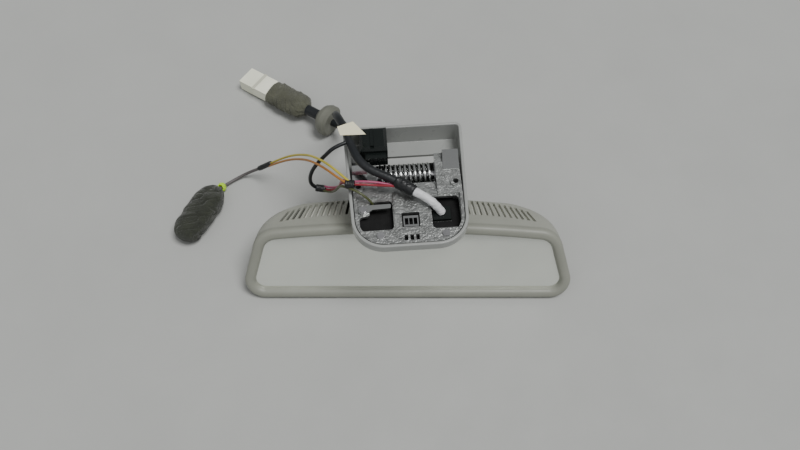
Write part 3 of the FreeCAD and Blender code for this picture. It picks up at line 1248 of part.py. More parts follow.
OLIVE_ROUTE = (
    (-66.4, 28.8, -45.6), (-61.4, 25.2, -43.6), (-57.6, 19.6, -36.0), (-54.4, 12.6, -23.4),
    (-52.0, 6.2, -11.0), (-49.8, 1.4, 1.0), (-43.6, -3.6, 5.2), (-36.8, -7.6, 5.6),
    (-30.6, -11.4, 2.6), (-26.6, -13.5, -2.4), (-25.5, -13.8, -7.6),
)
YELLOW_ROUTE = (
    (-42.2, -0.4, 8.2), (-48.6, 5.8, 9.8), (-55.4, 14.0, 8.6), (-62.8, 24.0, 3.0),
    (-72.0, 36.6, -8.0), (-84.0, 49.6, -25.0), (-97.0, 60.2, -43.8), (-109.0, 66.8, -60.2),
)
ORANGE_ROUTE = (
    (-42.4, -2.8, 7.9), (-49.8, 3.2, 7.8), (-57.2, 12.0, 5.6), (-65.0, 22.8, -1.2),
    (-73.8, 35.2, -12.2), (-85.8, 48.0, -28.4), (-98.4, 58.6, -46.4), (-109.8, 65.4, -61.6),
)
MIC_ROUTE = (
    (-117.6, 69.2, -69.2), (-127.6, 72.4, -78.4), (-137.4, 71.2, -83.6), (-146.2, 66.4, -84.4),
    (-152.2, 60.8, -82.0), (-156.4, 55.0, -78.6),
)
BOOT_ROUTE = (
    (3.8, -10.4, 5.7), (11.2, -14.6, 4.8), (17.9, -18.8, 1.2), (23.0, -22.2, -4.8),
    (24.4, -23.2, -6.9),
)
LABEL_CORNERS = (("-49", "45"), ("-47", "37"), ("-28", "36.5"), ("-37", "49"))
ARC_SHARE = 0.45
GROMMET_SPOT = (-60.5, 118.0, -72.4)
CONNECTOR_TIP = (-135.0, 178.0, -80.1)


def tube(label, route, radius):
    """Tube of straight runs joined by tangent arcs, each as large as its two runs allow."""
    spots = [Vector(*spot) for spot in route]
    edges = []
    bends = []
    leave = spots[0]
    for before, corner, after in zip(spots, spots[1:], spots[2:]):
        back = before - corner
        ahead = after - corner
        reach = ARC_SHARE * min(back.Length, ahead.Length)
        half_turn = (math.pi - back.getAngle(ahead)) / 2
        bend = reach / math.tan(half_turn)
        bends.append(bend)
        back.normalize()
        ahead.normalize()
        middle = corner + (back + ahead).normalize() * (bend / math.cos(half_turn) - bend)
        edges.append(Part.LineSegment(leave, corner + back * reach).toShape())
        leave = corner + ahead * reach
        edges.append(Part.Arc(corner + back * reach, middle, leave).toShape())
    edges.append(Part.LineSegment(leave, spots[-1]).toShape())
    path = Part.Wire(edges)
    section = Part.Wire(Part.makeCircle(radius, spots[0], spots[1] - spots[0]))
    solid = path.makePipeShell([section], True, True)
    straight = path.Length * math.pi * radius ** 2
    print(f"{label}: length {path.Length:.0f}, tightest bend {min(bends):.1f},"
          f" {min(bends) / (2 * radius):.1f} diameters, volume share {solid.Volume / straight:.4f}")
    return solid_feature(label, solid)


def aim(start, end):
    """Placement at a start point with z towards an end point and y as upright as it can be."""
    forward = (Vector(*end) - Vector(*start)).normalize()
    side = Z_AXIS.cross(forward).normalize()
    return Placement(Vector(*start), Rotation(side, forward.cross(side), forward, "ZXY"))


def band(label, start, end, radius):
    """Round band of tape or shrink sleeve from one point to another."""
    length = (Vector(*end) - Vector(*start)).Length
    solid = primitive("Cone", f"{label}_round",
                      {"Radius1": radius, "Radius2": f"({radius})*0.93", "Height": f"{length}"})
    return finished(solid, label, aim(start, end))


def cords():
    """The loom, its branch, the single wires and the microphone's lead, with what binds them."""
    tube("main_loom", LOOM_ROUTE, value("loom_r"))
    tube("branch_lead", BRANCH_ROUTE, value("branch_r"))
    for name, route in (("red", RED_ROUTE), ("pink", PINK_ROUTE), ("olive", OLIVE_ROUTE),
                        ("yellow", YELLOW_ROUTE), ("orange", ORANGE_ROUTE)):
        tube(f"{name}_wire", route, value("wire_r"))
    tube("microphone_lead", MIC_ROUTE, value("mic_lead_r"))
    tube("bundle_boot", BOOT_ROUTE, value("boot_r"))
    band("loom_sleeve", (4.5, -10.9, 5.6), (-8.5, -1.6, 7.4), "sleeve_r")
    band("crossing_tape", (-45.4, -1.2, 6.2), (-38.4, -2.2, 6.8), "3.4")
    band("branch_tape", (-70.4, 30.1, -44.4), (-62.2, 28.9, -45.4), "3.1")
    band("microphone_tape", (-107.4, 65.9, -58.2), (-119.6, 70.0, -71.2), "2.3")


def floor_pieces():
    """Foam bag, tie, grommet, collar, foam wrap and connector that lie where the head stands."""
    block_shape = primitive("Box", "bag_block", {"Length": "2*bag_half_long", "Width": "2*bag_half_wide",
                                                 "Height": "2*bag_half_high"},
                            "-bag_half_long", "-bag_half_wide", "-bag_half_high")
    bag = DOC.addObject("Part::Fillet", "bag_rounded")
    bag.Base = block_shape
    DOC.recompute()
    bag.Edges = [(i, value("bag_edge_r"), value("bag_edge_r"))
                 for i in range(1, len(block_shape.Shape.Edges) + 1)]
    turn = Rotation(Z_AXIS, value("bag_turn"))
    spot = Vector(value("bag_x"), value("bag_y"), value("bag_half_high-rest_height"))
    finished(bag, "foam_bag", Placement(spot, turn))
    ring = primitive("Torus", "tie_ring", {"Radius1": "mic_lead_r+tie_room", "Radius2": "tie_wire_r"})
    finished(ring, "bag_tie", aim(MIC_ROUTE[-2], MIC_ROUTE[-1]))
    line = aim(GROMMET_SPOT, CONNECTOR_TIP)
    grommet(line)
    collar = primitive("Cylinder", "collar_round", {"Radius": "loom_r+collar_wall", "Height": "collar_long"},
                       z="grommet_long")
    bore = primitive("Cylinder", "collar_bore", {"Radius": "loom_r+bore_gap", "Height": "4*collar_long"})
    finished(cut("cable_collar", collar, bore), "cable_collar", line)
    rings = []
    for i, (wide, high, along_line) in enumerate((("wrap_end", "wrap_end", "wrap_start"),
                                                  ("wrap_shoulder_wide", "wrap_high", "wrap_start+wrap_shoulder"),
                                                  ("wrap_wide", "wrap_high", "wrap_start+wrap_long"))):
        oval = DOC.addObject("Part::Ellipse", f"wrap_ring_{i}")
        bind(oval, MajorRadius=f"({wide})+0.01", MinorRadius=high)
        place(oval, z=along_line)
        rings.append(oval)
    wrap = DOC.addObject("Part::Loft", "wrap_loft")
    wrap.Sections = rings
    wrap.Solid = True
    finished(wrap, "foam_wrap", line)
    start = "wrap_start+wrap_long"
    shell = primitive("Box", "connector_block", {"Length": "plug_w", "Width": "plug_h",
                                                 "Height": "plug_l"}, "-plug_w/2", "-plug_h/2", start)
    waist = primitive("Box", "connector_waist", {"Length": "2*plug_w", "Width": "plug_h",
                                                 "Height": "waist_long"},
                      "-plug_w", "plug_h/2-waist_deep", f"{start}+waist_at")
    cells = [primitive("Box", f"cell_{row}_{i}", {"Length": "cell_wide", "Width": "cell_high",
                                                  "Height": "2*cell_deep"},
                       f"({i}-(cell_count-1)/2)*cell_pitch-cell_wide/2",
                       f"({row}-1/2)*cell_row-cell_high/2", f"{start}+plug_l-cell_deep")
             for row in range(2) for i in range(int(value("cell_count")))]
    finished(cut("loom_connector", shell, combine("Fuse", "connector_cuts", [waist, *cells])),
             "loom_connector", line)
    slide = primitive("Box", "lock_slide", {"Length": "plug_w+2*slide_proud",
                                            "Width": "waist_deep-slide_play",
                                            "Height": "waist_long-2*slide_play"},
                      "-plug_w/2-slide_proud", "plug_h/2-waist_deep+slide_play/2",
                      f"{start}+waist_at+slide_play")
    finished(slide, "connector_lock", line)
    label = body("loom_label")
    pad(label, polygon(sketch(label, "label_flag", "XY_Plane", "label_high"), LABEL_CORNERS), "label_thick")
    finished(label, "loom_label")
    finished(primitive("Box", "lead_socket_block", {"Length": "socket_l", "Width": "socket_w",
                                                    "Height": "socket_w"}, *LEAD_SOCKET), "lead_socket")


def grommet(line):
    """Rubber grommet: a domed flange with a short neck, turned round the loom."""
    owner = body("loom_grommet", line)
    inner = "loom_r+bore_gap"
    drawing = polygon(sketch(owner, "grommet_half", "XZ_Plane"),
                      ((inner, "-grommet_back"), ("grommet_r-2.5", "-grommet_back"),
                       ("grommet_r", "-grommet_back+2"), ("grommet_r", "0"),
                       ("grommet_r*0.86", "grommet_long*0.45"), ("grommet_r*0.55", "grommet_long*0.8"),
                       ("loom_r+2", "grommet_long"), (inner, "grommet_long")))
    turned = owner.newObject("PartDesign::Revolution", "grommet_turned")
    turned.Profile = drawing
    turned.ReferenceAxis = (drawing, ["V_Axis"])
    turned.Angle = 360
    DOC.recompute()
    return finished(owner, "loom_grommet")


# ---------------------------------------------------------------- build, check and write

def build():
    """Build every sub-part of the mirror."""
    bezel()
    glass_stack()
    housing()
    vent_baffle()
    ball_shells()
    carrier()
    head_screws()
    electronics()
    arm_shroud(arm())
    ball_stud()
    pivot()
    cover()
    floor_lining()
    frame()
    frame_screws()
    lock_lever()
    retaining_clip("retaining_clip_right", "28", "11.5", "12")
    retaining_clip("retaining_clip_left", "-40", "4.6", "11")
    small_mount_parts()
    cords()
    floor_pieces()
    DOC.recompute()


def check():
    """Stop if any object failed, or a sub-part is empty, invalid or repeated."""
    for item in DOC.Objects:
        if {"Invalid", "Error"} & set(item.State):
            raise RuntimeError(f"{item.Name}: {item.getStatusString()}")
    for item in SUBPARTS:
        if item.Shape.isNull() or not item.Shape.isValid() or not item.Shape.Solids:
            raise RuntimeError(f"{item.Label} has no valid solid")
    names = [item.Label for item in SUBPARTS]
    if len(set(names)) < len(names):
        raise RuntimeError(f"repeated names: {sorted(names)}")


def write():
    """Write each sub-part to its own file."""
    os.makedirs("parts", exist_ok=True)
    for item in SUBPARTS:
        item.Shape.exportStep(f"parts/{item.Label}.step")


build()
check()
write()
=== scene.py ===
"""Interior rear-view mirror: finishes, wiring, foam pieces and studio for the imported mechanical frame.

Lengths are metres in the frame's own axes: the origin is the middle of the mount's fixing plane, +Z out
of that plane, +Y to the straight far end of the mount, +X to its right.
"""

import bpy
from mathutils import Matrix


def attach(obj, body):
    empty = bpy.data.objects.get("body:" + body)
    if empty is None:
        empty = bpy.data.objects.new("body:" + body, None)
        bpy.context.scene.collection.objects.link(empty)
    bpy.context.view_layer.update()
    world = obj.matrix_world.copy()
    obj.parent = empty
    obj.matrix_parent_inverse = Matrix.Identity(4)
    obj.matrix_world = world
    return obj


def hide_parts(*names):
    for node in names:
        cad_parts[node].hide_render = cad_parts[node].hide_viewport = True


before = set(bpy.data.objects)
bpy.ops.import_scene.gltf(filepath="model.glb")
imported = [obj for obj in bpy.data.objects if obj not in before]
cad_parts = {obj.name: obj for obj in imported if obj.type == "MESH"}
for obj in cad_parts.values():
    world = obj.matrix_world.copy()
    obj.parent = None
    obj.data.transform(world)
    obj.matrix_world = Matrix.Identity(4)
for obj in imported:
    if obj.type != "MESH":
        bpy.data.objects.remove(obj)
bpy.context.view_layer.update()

import logging
import math
from dataclasses import dataclass, field
from enum import Enum

import bpy
import numpy as np
from mathutils import Matrix, Vector

LOG = logging.getLogger("mirror")
MM = 0.001
FLOOR_LEVEL = -86.4 * MM
Colour = tuple[float, float, float]
Point = tuple[float, float, float]
Route = tuple[Point, ...]


# ---------------------------------------------------------------- finishes

class Grain(Enum):
    """How a finish's fine surface pattern is made."""

    MOULDED = "even fine spark-eroded grain"
    CAST = "soft lumps of a die casting"
    BRUSHED = "fine lines drawn out along one way"
    FOAM = "open cells and soft creases"
    WOUND = "overlapping turns of tape"
    SMOOTH = "nearly plain surface with slight haze"


@dataclass(frozen=True)
class Finish:
    """One material: its colour, its shine and the pattern that breaks them up.

    Tone is how far the colour strays in patches, speck how dark the fine specks are and relief how
    strongly the grain tilts the surface. Cell and patch are the sizes of the grain and of the patches,
    in millimetres.
    """

    name: str
    colour: Colour
    roughness: float
    grain: Grain = Grain.MOULDED
    metal: float = 0.0
    tone: float = 0.08
    relief: float = 0.15
    cell: float = 0.6
    patch: float = 22.0
    coat: float = 0.0
    glassy: float = 0.0
    sheen: float = 0.0
    speck: float = 0.0
    flat: bool = False

    def material(self) -> bpy.types.Material:
        """Build the node material, once.

        Returns:
            The material named after this finish.
        """
        title = f"{self.name}_finish"
        known = bpy.data.materials.get(title)
        if known:
            return known
        made = bpy.data.materials.new(title)
        made.use_nodes = True
        made.diffuse_color = (*self.colour, 1.0)
        graph = Graph(made)
        self._colour(graph)
        self._shine(graph)
        self._relief(graph)
        return made

    def _colour(self, graph: "Graph") -> None:
        """Mix the colour between a darker and a lighter tone in broad soft patches and fine specks.

        Args:
            graph: nodes of the material that is being made.
        """
        broad = graph.noise(1.0 / (self.patch * MM), detail=4.0)
        dark = tuple(c * (1.0 - self.tone) for c in self.colour)
        light = tuple(min(c * (1.0 + self.tone), 1.0) for c in self.colour)
        blend = graph.ramp(broad, ((0.3, dark), (0.7, light)))
        if self.speck:
            fine = graph.noise(1.0 / (self.cell * MM), detail=2.0)
            speckled = graph.ramp(fine, ((0.35, (1.0 - self.speck,) * 3), (0.65, (1.0,) * 3)))
            blend = graph.multiply(blend, speckled)
        graph.join(blend, graph.shader.inputs["Base Color"])

    def _shine(self, graph: "Graph") -> None:
        """Set the shader's plain numbers and vary the roughness a little in patches.

        Args:
            graph: nodes of the material that is being made.
        """
        shader = graph.shader
        shader.inputs["Metallic"].default_value = self.metal
        shader.inputs["Coat Weight"].default_value = self.coat
        shader.inputs["Transmission Weight"].default_value = self.glassy
        shader.inputs["Sheen Weight"].default_value = self.sheen
        if self.glassy:
            shader.inputs["Roughness"].default_value = self.roughness
            return
        haze = graph.noise(2.4 / (self.patch * MM), detail=6.0)
        low, high = self.roughness * 0.86, min(self.roughness * 1.16, 1.0)
        graph.join(graph.spread(haze, low, high), shader.inputs["Roughness"])

    def _relief(self, graph: "Graph") -> None:
        """Raise the surface by the grain's pattern.

        Args:
            graph: nodes of the material that is being made.
        """
        if self.flat:
            graph.flatten()
        if self.relief <= 0.0:
            return
        scale = 1.0 / (self.cell * MM)
        if self.grain is Grain.BRUSHED:
            height = graph.noise(scale, detail=3.0, stretch=(0.08, 1.0, 1.0))
        elif self.grain is Grain.CAST:
            height = graph.add(graph.noise(scale, detail=5.0), graph.noise(scale * 0.22, detail=2.0))
        elif self.grain is Grain.FOAM:
            height = graph.add(graph.cells(scale), graph.noise(scale * 0.16, detail=4.0))
        elif self.grain is Grain.WOUND:
            height = graph.add(graph.noise(scale, detail=3.0, stretch=(0.3, 1.0, 1.0)),
                               graph.noise(scale * 0.3, detail=2.0))
        else:
            height = graph.noise(scale, detail=4.0)
        graph.bump(height, self.relief, self.cell * MM)


class Graph:
    """Short ways to lay nodes in one material, all read in object coordinates."""

    def __init__(self, material: bpy.types.Material) -> None:
        """Take over a material's node tree.

        Args:
            material: a new material whose nodes are in use.
        """
        self.tree = material.node_tree
        self.shader = self.tree.nodes["Principled BSDF"]
        self.place = self.tree.nodes.new("ShaderNodeTexCoord").outputs["Object"]

    def node(self, kind: str) -> bpy.types.Node:
        """Add a node of one kind."""
        return self.tree.nodes.new(f"ShaderNode{kind}")

    def join(self, source: bpy.types.NodeSocket, target: bpy.types.NodeSocket) -> None:
        """Link one socket to another."""
        self.tree.links.new(source, target)

    def noise(self, scale: float, detail: float, stretch: Point = (1.0, 1.0, 1.0)) -> bpy.types.NodeSocket:
        """Soft noise over the piece.

        Args:
            scale: cells in a metre.
            detail: octaves of finer noise.
            stretch: how far each axis is squeezed before the noise is read.

        Returns:
            The noise's value socket.
        """
        made = self.node("TexNoise")
        made.inputs["Scale"].default_value = scale
        made.inputs["Detail"].default_value = detail
        source = self.place
        if stretch != (1.0, 1.0, 1.0):
            mapping = self.node("Mapping")
            mapping.inputs["Scale"].default_value = stretch
            self.join(source, mapping.inputs["Vector"])
            source = mapping.outputs["Vector"]
        self.join(source, made.inputs["Vector"])
        return made.outputs["Fac"]

    def cells(self, scale: float) -> bpy.types.NodeSocket:
        """Distance to the nearest cell centre, as in open foam.

        Args:
            scale: cells in a metre.

        Returns:
            The distance socket.
        """
        made = self.node("TexVoronoi")
        made.inputs["Scale"].default_value = scale
        self.join(self.place, made.inputs["Vector"])
        return made.outputs["Distance"]

    def ramp(self, source: bpy.types.NodeSocket,
             stops: tuple[tuple[float, Colour], ...]) -> bpy.types.NodeSocket:
        """Turn a value into a colour between two stops.

        Args:
            source: value to read.
            stops: place and colour of each stop.

        Returns:
            The colour socket.
        """
        made = self.node("ValToRGB")
        for element, (where, colour) in zip(made.color_ramp.elements, stops):
            element.position = where
            element.color = (*colour, 1.0)
        self.join(source, made.inputs["Fac"])
        return made.outputs["Color"]

    def multiply(self, first: bpy.types.NodeSocket, second: bpy.types.NodeSocket) -> bpy.types.NodeSocket:
        """Multiply two colours.

        Args:
            first: a colour socket.
            second: another colour socket.

        Returns:
            The product's colour socket.
        """
        made = self.node("Mix")
        made.data_type = "RGBA"
        made.blend_type = "MULTIPLY"
        made.inputs["Factor"].default_value = 1.0
        self.join(first, made.inputs["A"])
        self.join(second, made.inputs["B"])
        return next(s for s in made.outputs if s.type == "RGBA" and s.enabled)

    def spread(self, source: bpy.types.NodeSocket, low: float, high: float) -> bpy.types.NodeSocket:
        """Stretch the part of a noise that it mostly keeps to, 0.3 to 0.7, to a range.

        Args:
            source: value to read.
            low: result at 0.3.
            high: result at 0.7.

        Returns:
            The result's socket.
        """
        made = self.node("MapRange")
        for name, number in (("From Min", 0.3), ("From Max", 0.7), ("To Min", low), ("To Max", high)):
            made.inputs[name].default_value = number
        self.join(source, made.inputs["Value"])
        return made.outputs["Result"]

    def add(self, first: bpy.types.NodeSocket, second: bpy.types.NodeSocket) -> bpy.types.NodeSocket:
        """Add two values.

        Args:
            first: a value socket.
            second: another value socket.

        Returns:
            The sum's socket.
        """
        made = self.node("Math")
        made.operation = "ADD"
        self.join(first, made.inputs[0])
        self.join(second, made.inputs[1])
        return made.outputs[0]

    def flatten(self) -> None:
        """Shade with each face's own normal, as a ground and polished sheet looks."""
        self.join(self.node("NewGeometry").outputs["True Normal"], self.shader.inputs["Normal"])

    def bump(self, height: bpy.types.NodeSocket, strength: float, distance: float) -> None:
        """Tilt the shader's normals by a height.

        Args:
            height: height socket.
            strength: share of the full effect, 0 to 1.
            distance: height in metres that a value of 1 stands for.
        """
        made = self.node("Bump")
        made.inputs["Strength"].default_value = strength
        made.inputs["Distance"].default_value = distance
        self.join(height, made.inputs["Height"])
        self.join(made.outputs["Normal"], self.shader.inputs["Normal"])


HEAD_GREY = Finish("head_grey", (0.335, 0.342, 0.295), 0.46, tone=0.05, relief=0.12, cell=0.5)
# Painted shade: the bezel's grey is set darker than the housing's, to match the shade along its lower edge.
BEZEL_SHADED_GREY = Finish("bezel_shaded_grey", (0.262, 0.268, 0.228), 0.42, tone=0.05, relief=0.12, cell=0.5)
# Painted light: the baffle behind the closed vent slots is much lighter than the housing, to lift the shade
# it sits in.
VENT_PAINTED_LIGHT = Finish("vent_painted_light", (0.78, 0.78, 0.71), 0.6, tone=0.08, relief=0.12, cell=0.5)
COVER_GREY = Finish("cover_grey", (0.335, 0.345, 0.33), 0.30, tone=0.05, relief=0.06, cell=0.5)
INNER_BLACK = Finish("inner_black", (0.02, 0.02, 0.02), 0.6, relief=0.1)
# The stack's layers touch face to face, so the front glass carries the whole mirror's look.
MIRROR_FACE = Finish("mirror_face", (0.90, 0.92, 0.86), 0.07, Grain.SMOOTH, metal=0.9, tone=0.03,
                     relief=0.0, patch=40.0, flat=True)
SILVER = Finish("silver", (0.95, 0.97, 0.90), 0.05, Grain.SMOOTH, metal=1.0, tone=0.015, relief=0.0,
                flat=True)
GEL = Finish("gel", (0.99, 1.0, 0.97), 0.0, Grain.SMOOTH, glassy=1.0, relief=0.0, flat=True)
PAD_BLACK = Finish("pad_black", (0.003, 0.003, 0.003), 0.9, Grain.FOAM, relief=0.3)
DIE_CAST = Finish("die_cast", (0.36, 0.37, 0.36), 0.32, Grain.CAST, metal=0.8, tone=0.30, relief=0.35,
                  cell=1.6, patch=6.0, speck=0.15)
BRIGHT_STEEL = Finish("bright_steel", (0.66, 0.67, 0.66), 0.14, Grain.BRUSHED, metal=1.0, relief=0.06)
PLAIN_STEEL = Finish("plain_steel", (0.50, 0.50, 0.51), 0.30, Grain.BRUSHED, metal=1.0, relief=0.10)
NYLON = Finish("nylon", (0.80, 0.78, 0.70), 0.45, Grain.SMOOTH, relief=0.05)
PLUG_BLACK = Finish("plug_black", (0.004, 0.007, 0.006), 0.26, relief=0.08)
BOARD_GREEN = Finish("board_green", (0.02, 0.14, 0.06), 0.3, Grain.SMOOTH, relief=0.05, coat=0.3)
CHIP_BLACK = Finish("chip_black", (0.02, 0.02, 0.02), 0.5, relief=0.1)
CABLE_BLACK = Finish("cable_black", (0.010, 0.012, 0.014), 0.42, Grain.SMOOTH, tone=0.25, relief=0.12,
                     cell=2.2)
LEAD_GREY = Finish("lead_grey", (0.11, 0.10, 0.10), 0.5, Grain.SMOOTH, tone=0.15, relief=0.1, cell=1.5)
TAPE_BLACK = Finish("tape_black", (0.008, 0.009, 0.010), 0.36, Grain.WOUND, tone=0.2, relief=0.5, cell=1.6)
SLEEVE_WHITE = Finish("sleeve_white", (0.70, 0.71, 0.72), 0.42, Grain.WOUND, tone=0.10, relief=0.35,
                      cell=1.8, patch=6.0)
RED = Finish("red_jacket", (0.30, 0.020, 0.035), 0.32, Grain.SMOOTH, relief=0.05)
PINK = Finish("pink_jacket", (0.40, 0.075, 0.16), 0.32, Grain.SMOOTH, relief=0.05)
OLIVE = Finish("olive_jacket", (0.075, 0.085, 0.03), 0.34, Grain.SMOOTH, relief=0.05)
YELLOW = Finish("yellow_jacket", (0.50, 0.42, 0.05), 0.34, Grain.SMOOTH, relief=0.05)
ORANGE = Finish("orange_jacket", (0.40, 0.17, 0.035), 0.34, Grain.SMOOTH, relief=0.05)
LIME = Finish("lime_tie", (0.50, 0.80, 0.02), 0.38, Grain.SMOOTH, relief=0.05)
RUBBER_GREY = Finish("rubber_grey", (0.160, 0.163, 0.135), 0.5, tone=0.18, relief=0.12, cell=0.8)
BAG_FOAM = Finish("bag_foam", (0.031, 0.035, 0.023), 0.95, Grain.FOAM, tone=0.30, relief=0.8, cell=0.9,
                  patch=8.0, sheen=0.25, speck=0.35)
WRAP_FOAM = Finish("wrap_foam", (0.098, 0.100, 0.070), 0.92, Grain.FOAM, tone=0.22, relief=0.7, cell=0.8,
                   patch=9.0, sheen=0.2, speck=0.25)
IVORY = Finish("ivory", (0.95, 0.96, 0.78), 0.36, Grain.SMOOTH, relief=0.05)
# Painted shade: the connector's ivory darkened for its lock, a shaded copy of the same plastic.
IVORY_PAINTED_SHADE = Finish("ivory_painted_shade", (0.62, 0.62, 0.50), 0.40, Grain.SMOOTH, relief=0.05)
LABEL_CREAM = Finish("label_cream", (0.92, 0.87, 0.62), 0.6, tone=0.03, relief=0.08)
FLOOR_PALE = Finish("floor_pale", (0.43, 0.437, 0.42), 0.8, tone=0.02, relief=0.05, cell=2.0, patch=60.0)


# ---------------------------------------------------------------- surfaces

def closed_grid(rings: int, around: int) -> list[tuple[int, ...]]:
    """Faces of a closed tube of rings, each of the same number of points, with a fan at each end.

    Args:
        rings: number of rings along the tube.
        around: number of points in each ring.

    Returns:
        Faces that point outwards when rings go round anticlockwise seen from the tube's far end.
    """
    step = np.arange(rings - 1)[:, None] * around
    here = np.arange(around)[None, :]
    after = (here + 1) % around
    quads = np.stack([step + here, step + after, step + around + after, step + around + here], axis=-1)
    first, last = rings * around, rings * around + 1
    turn = np.arange(around)
    following = (turn + 1) % around
    start = np.stack([np.full(around, first), following, turn], axis=-1)
    base = (rings - 1) * around
    end = np.stack([np.full(around, last), base + turn, base + following], axis=-1)
    return [tuple(map(int, face)) for part in (quads.reshape(-1, 4), start, end) for face in part]


def ring_frames(line: np.ndarray) -> tuple[np.ndarray, np.ndarray]:
    """Two directions square to a line at each of its points: one level, one as upright as it can be.

    The first is the line's direction crossed with +Z and the second closes the triad.

    Args:
        line: points of the line, one row each.

    Returns:
        The level directions and the upright directions.
    """
    along = np.gradient(line, axis=0)
    along /= np.linalg.norm(along, axis=1, keepdims=True)
    side = np.cross(along, np.array([0.0, 0.0, 1.0]))
    side /= np.linalg.norm(side, axis=1, keepdims=True)
    return side, np.cross(side, along)


def tube_surface(line: np.ndarray, wide: np.ndarray, high: np.ndarray) -> np.ndarray:
    """Points of a tube: line + side * wide * cos(turn) + upright * high * sin(turn).

    Args:
        line: centre of each ring.
        wide: half width for each ring and each turn.
        high: half height for each ring and each turn.

    Returns:
        Ring points row by row, then the two end centres.
    """
    around = wide.shape[1]
    turn = np.linspace(0.0, 2.0 * math.pi, around, endpoint=False)[None, :, None]
    side, upright = ring_frames(line)
    grid = (line[:, None, :] + side[:, None, :] * wide[:, :, None] * np.cos(turn)
            + upright[:, None, :] * high[:, :, None] * np.sin(turn))
    return np.vstack([grid.reshape(-1, 3), line[:1], line[-1:]])


def new_piece(name: str, points: np.ndarray, faces: list[tuple[int, ...]], finish: Finish,
              smooth: bool = True) -> bpy.types.Object:
    """Make a mesh object at the origin from points in metres.

    Args:
        name: name of the piece.
        points: one row per vertex.
        faces: vertex numbers of each face.
        finish: its finish.
        smooth: whether the faces are shaded smooth.

    Returns:
        The linked object.
    """
    mesh = bpy.data.meshes.new(name)
    mesh.from_pydata(points.tolist(), [], faces)
    mesh.polygons.foreach_set("use_smooth", np.full(len(mesh.polygons), smooth))
    mesh.materials.append(finish.material())
    piece = bpy.data.objects.new(name, mesh)
    bpy.context.scene.collection.objects.link(piece)
    return piece


def tube_piece(name: str, line: np.ndarray, wide: np.ndarray, high: np.ndarray,
               finish: Finish) -> bpy.types.Object:
    """Make a closed tube piece from its rings."""
    return new_piece(name, tube_surface(line, wide, high), closed_grid(*wide.shape), finish)


def straight(start: Point, end: Point, count: int) -> np.ndarray:
    """Evenly spaced points between two points given in millimetres, in metres."""
    share = np.linspace(0.0, 1.0, count)[:, None]
    return (np.array(start) * (1.0 - share) + np.array(end) * share) * MM


def smooth_step(low: float, high: float, value: np.ndarray) -> np.ndarray:
    """Rise from 0 at low to 1 at high as 3 x squared minus 2 x cubed."""
    share = np.clip((value - low) / (high - low), 0.0, 1.0)
    return share * share * (3.0 - 2.0 * share)


def ripples(along: np.ndarray, turn: np.ndarray, seed: int, count: int = 9) -> np.ndarray:
    """Uneven creases: a sum of sine waves with random numbers of turns, lengths and phases.

    Args:
        along: place along the piece, 0 to 1, one per ring.
        turn: angle of each point round the piece.
        seed: seed of the random draws.
        count: number of waves.

    Returns:
        Values about -1 to 1 for each ring and each angle.
    """
    draw = np.random.default_rng(seed)
    total = np.zeros((len(along), len(turn)))
    for _ in range(count):
        wraps, waves = draw.integers(1, 6), draw.uniform(1.0, 6.0)
        phase = draw.uniform(0.0, 2.0 * math.pi)
        total += np.sin(wraps * turn[None, :] + 2.0 * math.pi * waves * along[:, None] + phase)
    return total / count ** 0.5 / 1.6


def creases(along: np.ndarray, turn: np.ndarray, seed: int, depth: float) -> np.ndarray:
    """Sharp valleys where the ripples pass through zero: minus depth times exp(-(ripples / 0.09)^2).

    Args:
        along: place along the piece, 0 to 1, one per ring.
        turn: angle of each point round the piece.
        seed: seed of the ripples.
        depth: depth of a valley.

    Returns:
        Values from minus the depth to 0 for each ring and each angle.
    """
    return -depth * np.exp(-(ripples(along, turn, seed, 5) / 0.09) ** 2)


def dress(finish: Finish, *nodes: str) -> None:
    """Give CAD nodes a finish.

    Args:
        finish: the finish.
        nodes: names of the nodes.
    """
    for name in nodes:
        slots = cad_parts[name].data.materials
        slots.clear()
        slots.append(finish.material())
        LOG.info("dressed %s with %s", name, finish.name)


def settle(piece: bpy.types.Object, slot: str, *replaced: str) -> bpy.types.Object:
    """Let a new piece ride on the mount and stand for CAD nodes.

    Args:
        piece: the new piece.
        slot: not used.
        replaced: names of the plain CAD nodes that it stands for.

    Returns:
        The same piece.
    """
    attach(piece, "mount")
    if replaced:
        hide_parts(*replaced)
    LOG.info("made %s", piece.name)
    return piece


# ---------------------------------------------------------------- rigid sub-assemblies

@dataclass
class MirrorHead:
    """Bezel, glass, housing and what the housing holds."""

    shell: Finish = HEAD_GREY
    rim: Finish = BEZEL_SHADED_GREY

    def dress(self) -> None:
        """Give the head's nodes their finishes."""
        dress(self.shell, "housing")
        dress(self.rim, "bezel")
        dress(MIRROR_FACE, "front_glass")
        dress(GEL, "dimming_gel")
        dress(SILVER, "rear_glass")
        dress(PAD_BLACK, "glass_pad")
        # The vent baffle's finish carries painted light against the shade behind the slots.
        dress(VENT_PAINTED_LIGHT, "vent_baffle")
        dress(INNER_BLACK, "carrier_plate", "glare_sensor", "ambient_sensor", "board_connector")
        dress(PLAIN_STEEL, "housing_screws", "microphone")
        dress(BOARD_GREEN, "circuit_board")
        dress(CHIP_BLACK, "board_chips", "board_capacitors")
        dress(RUBBER_GREY, "microphone_boot")


@dataclass
class BallArm:
    """Arm, ball stud and the shells of the ball joint."""

    casting: Finish = DIE_CAST

    def dress(self) -> None:
        """Give the arm's nodes their finishes."""
        dress(self.casting, "arm")
        dress(PLAIN_STEEL, "ball_stud", "socket_cage")
        dress(NYLON, "ball_liner")
        dress(INNER_BLACK, "arm_shroud")


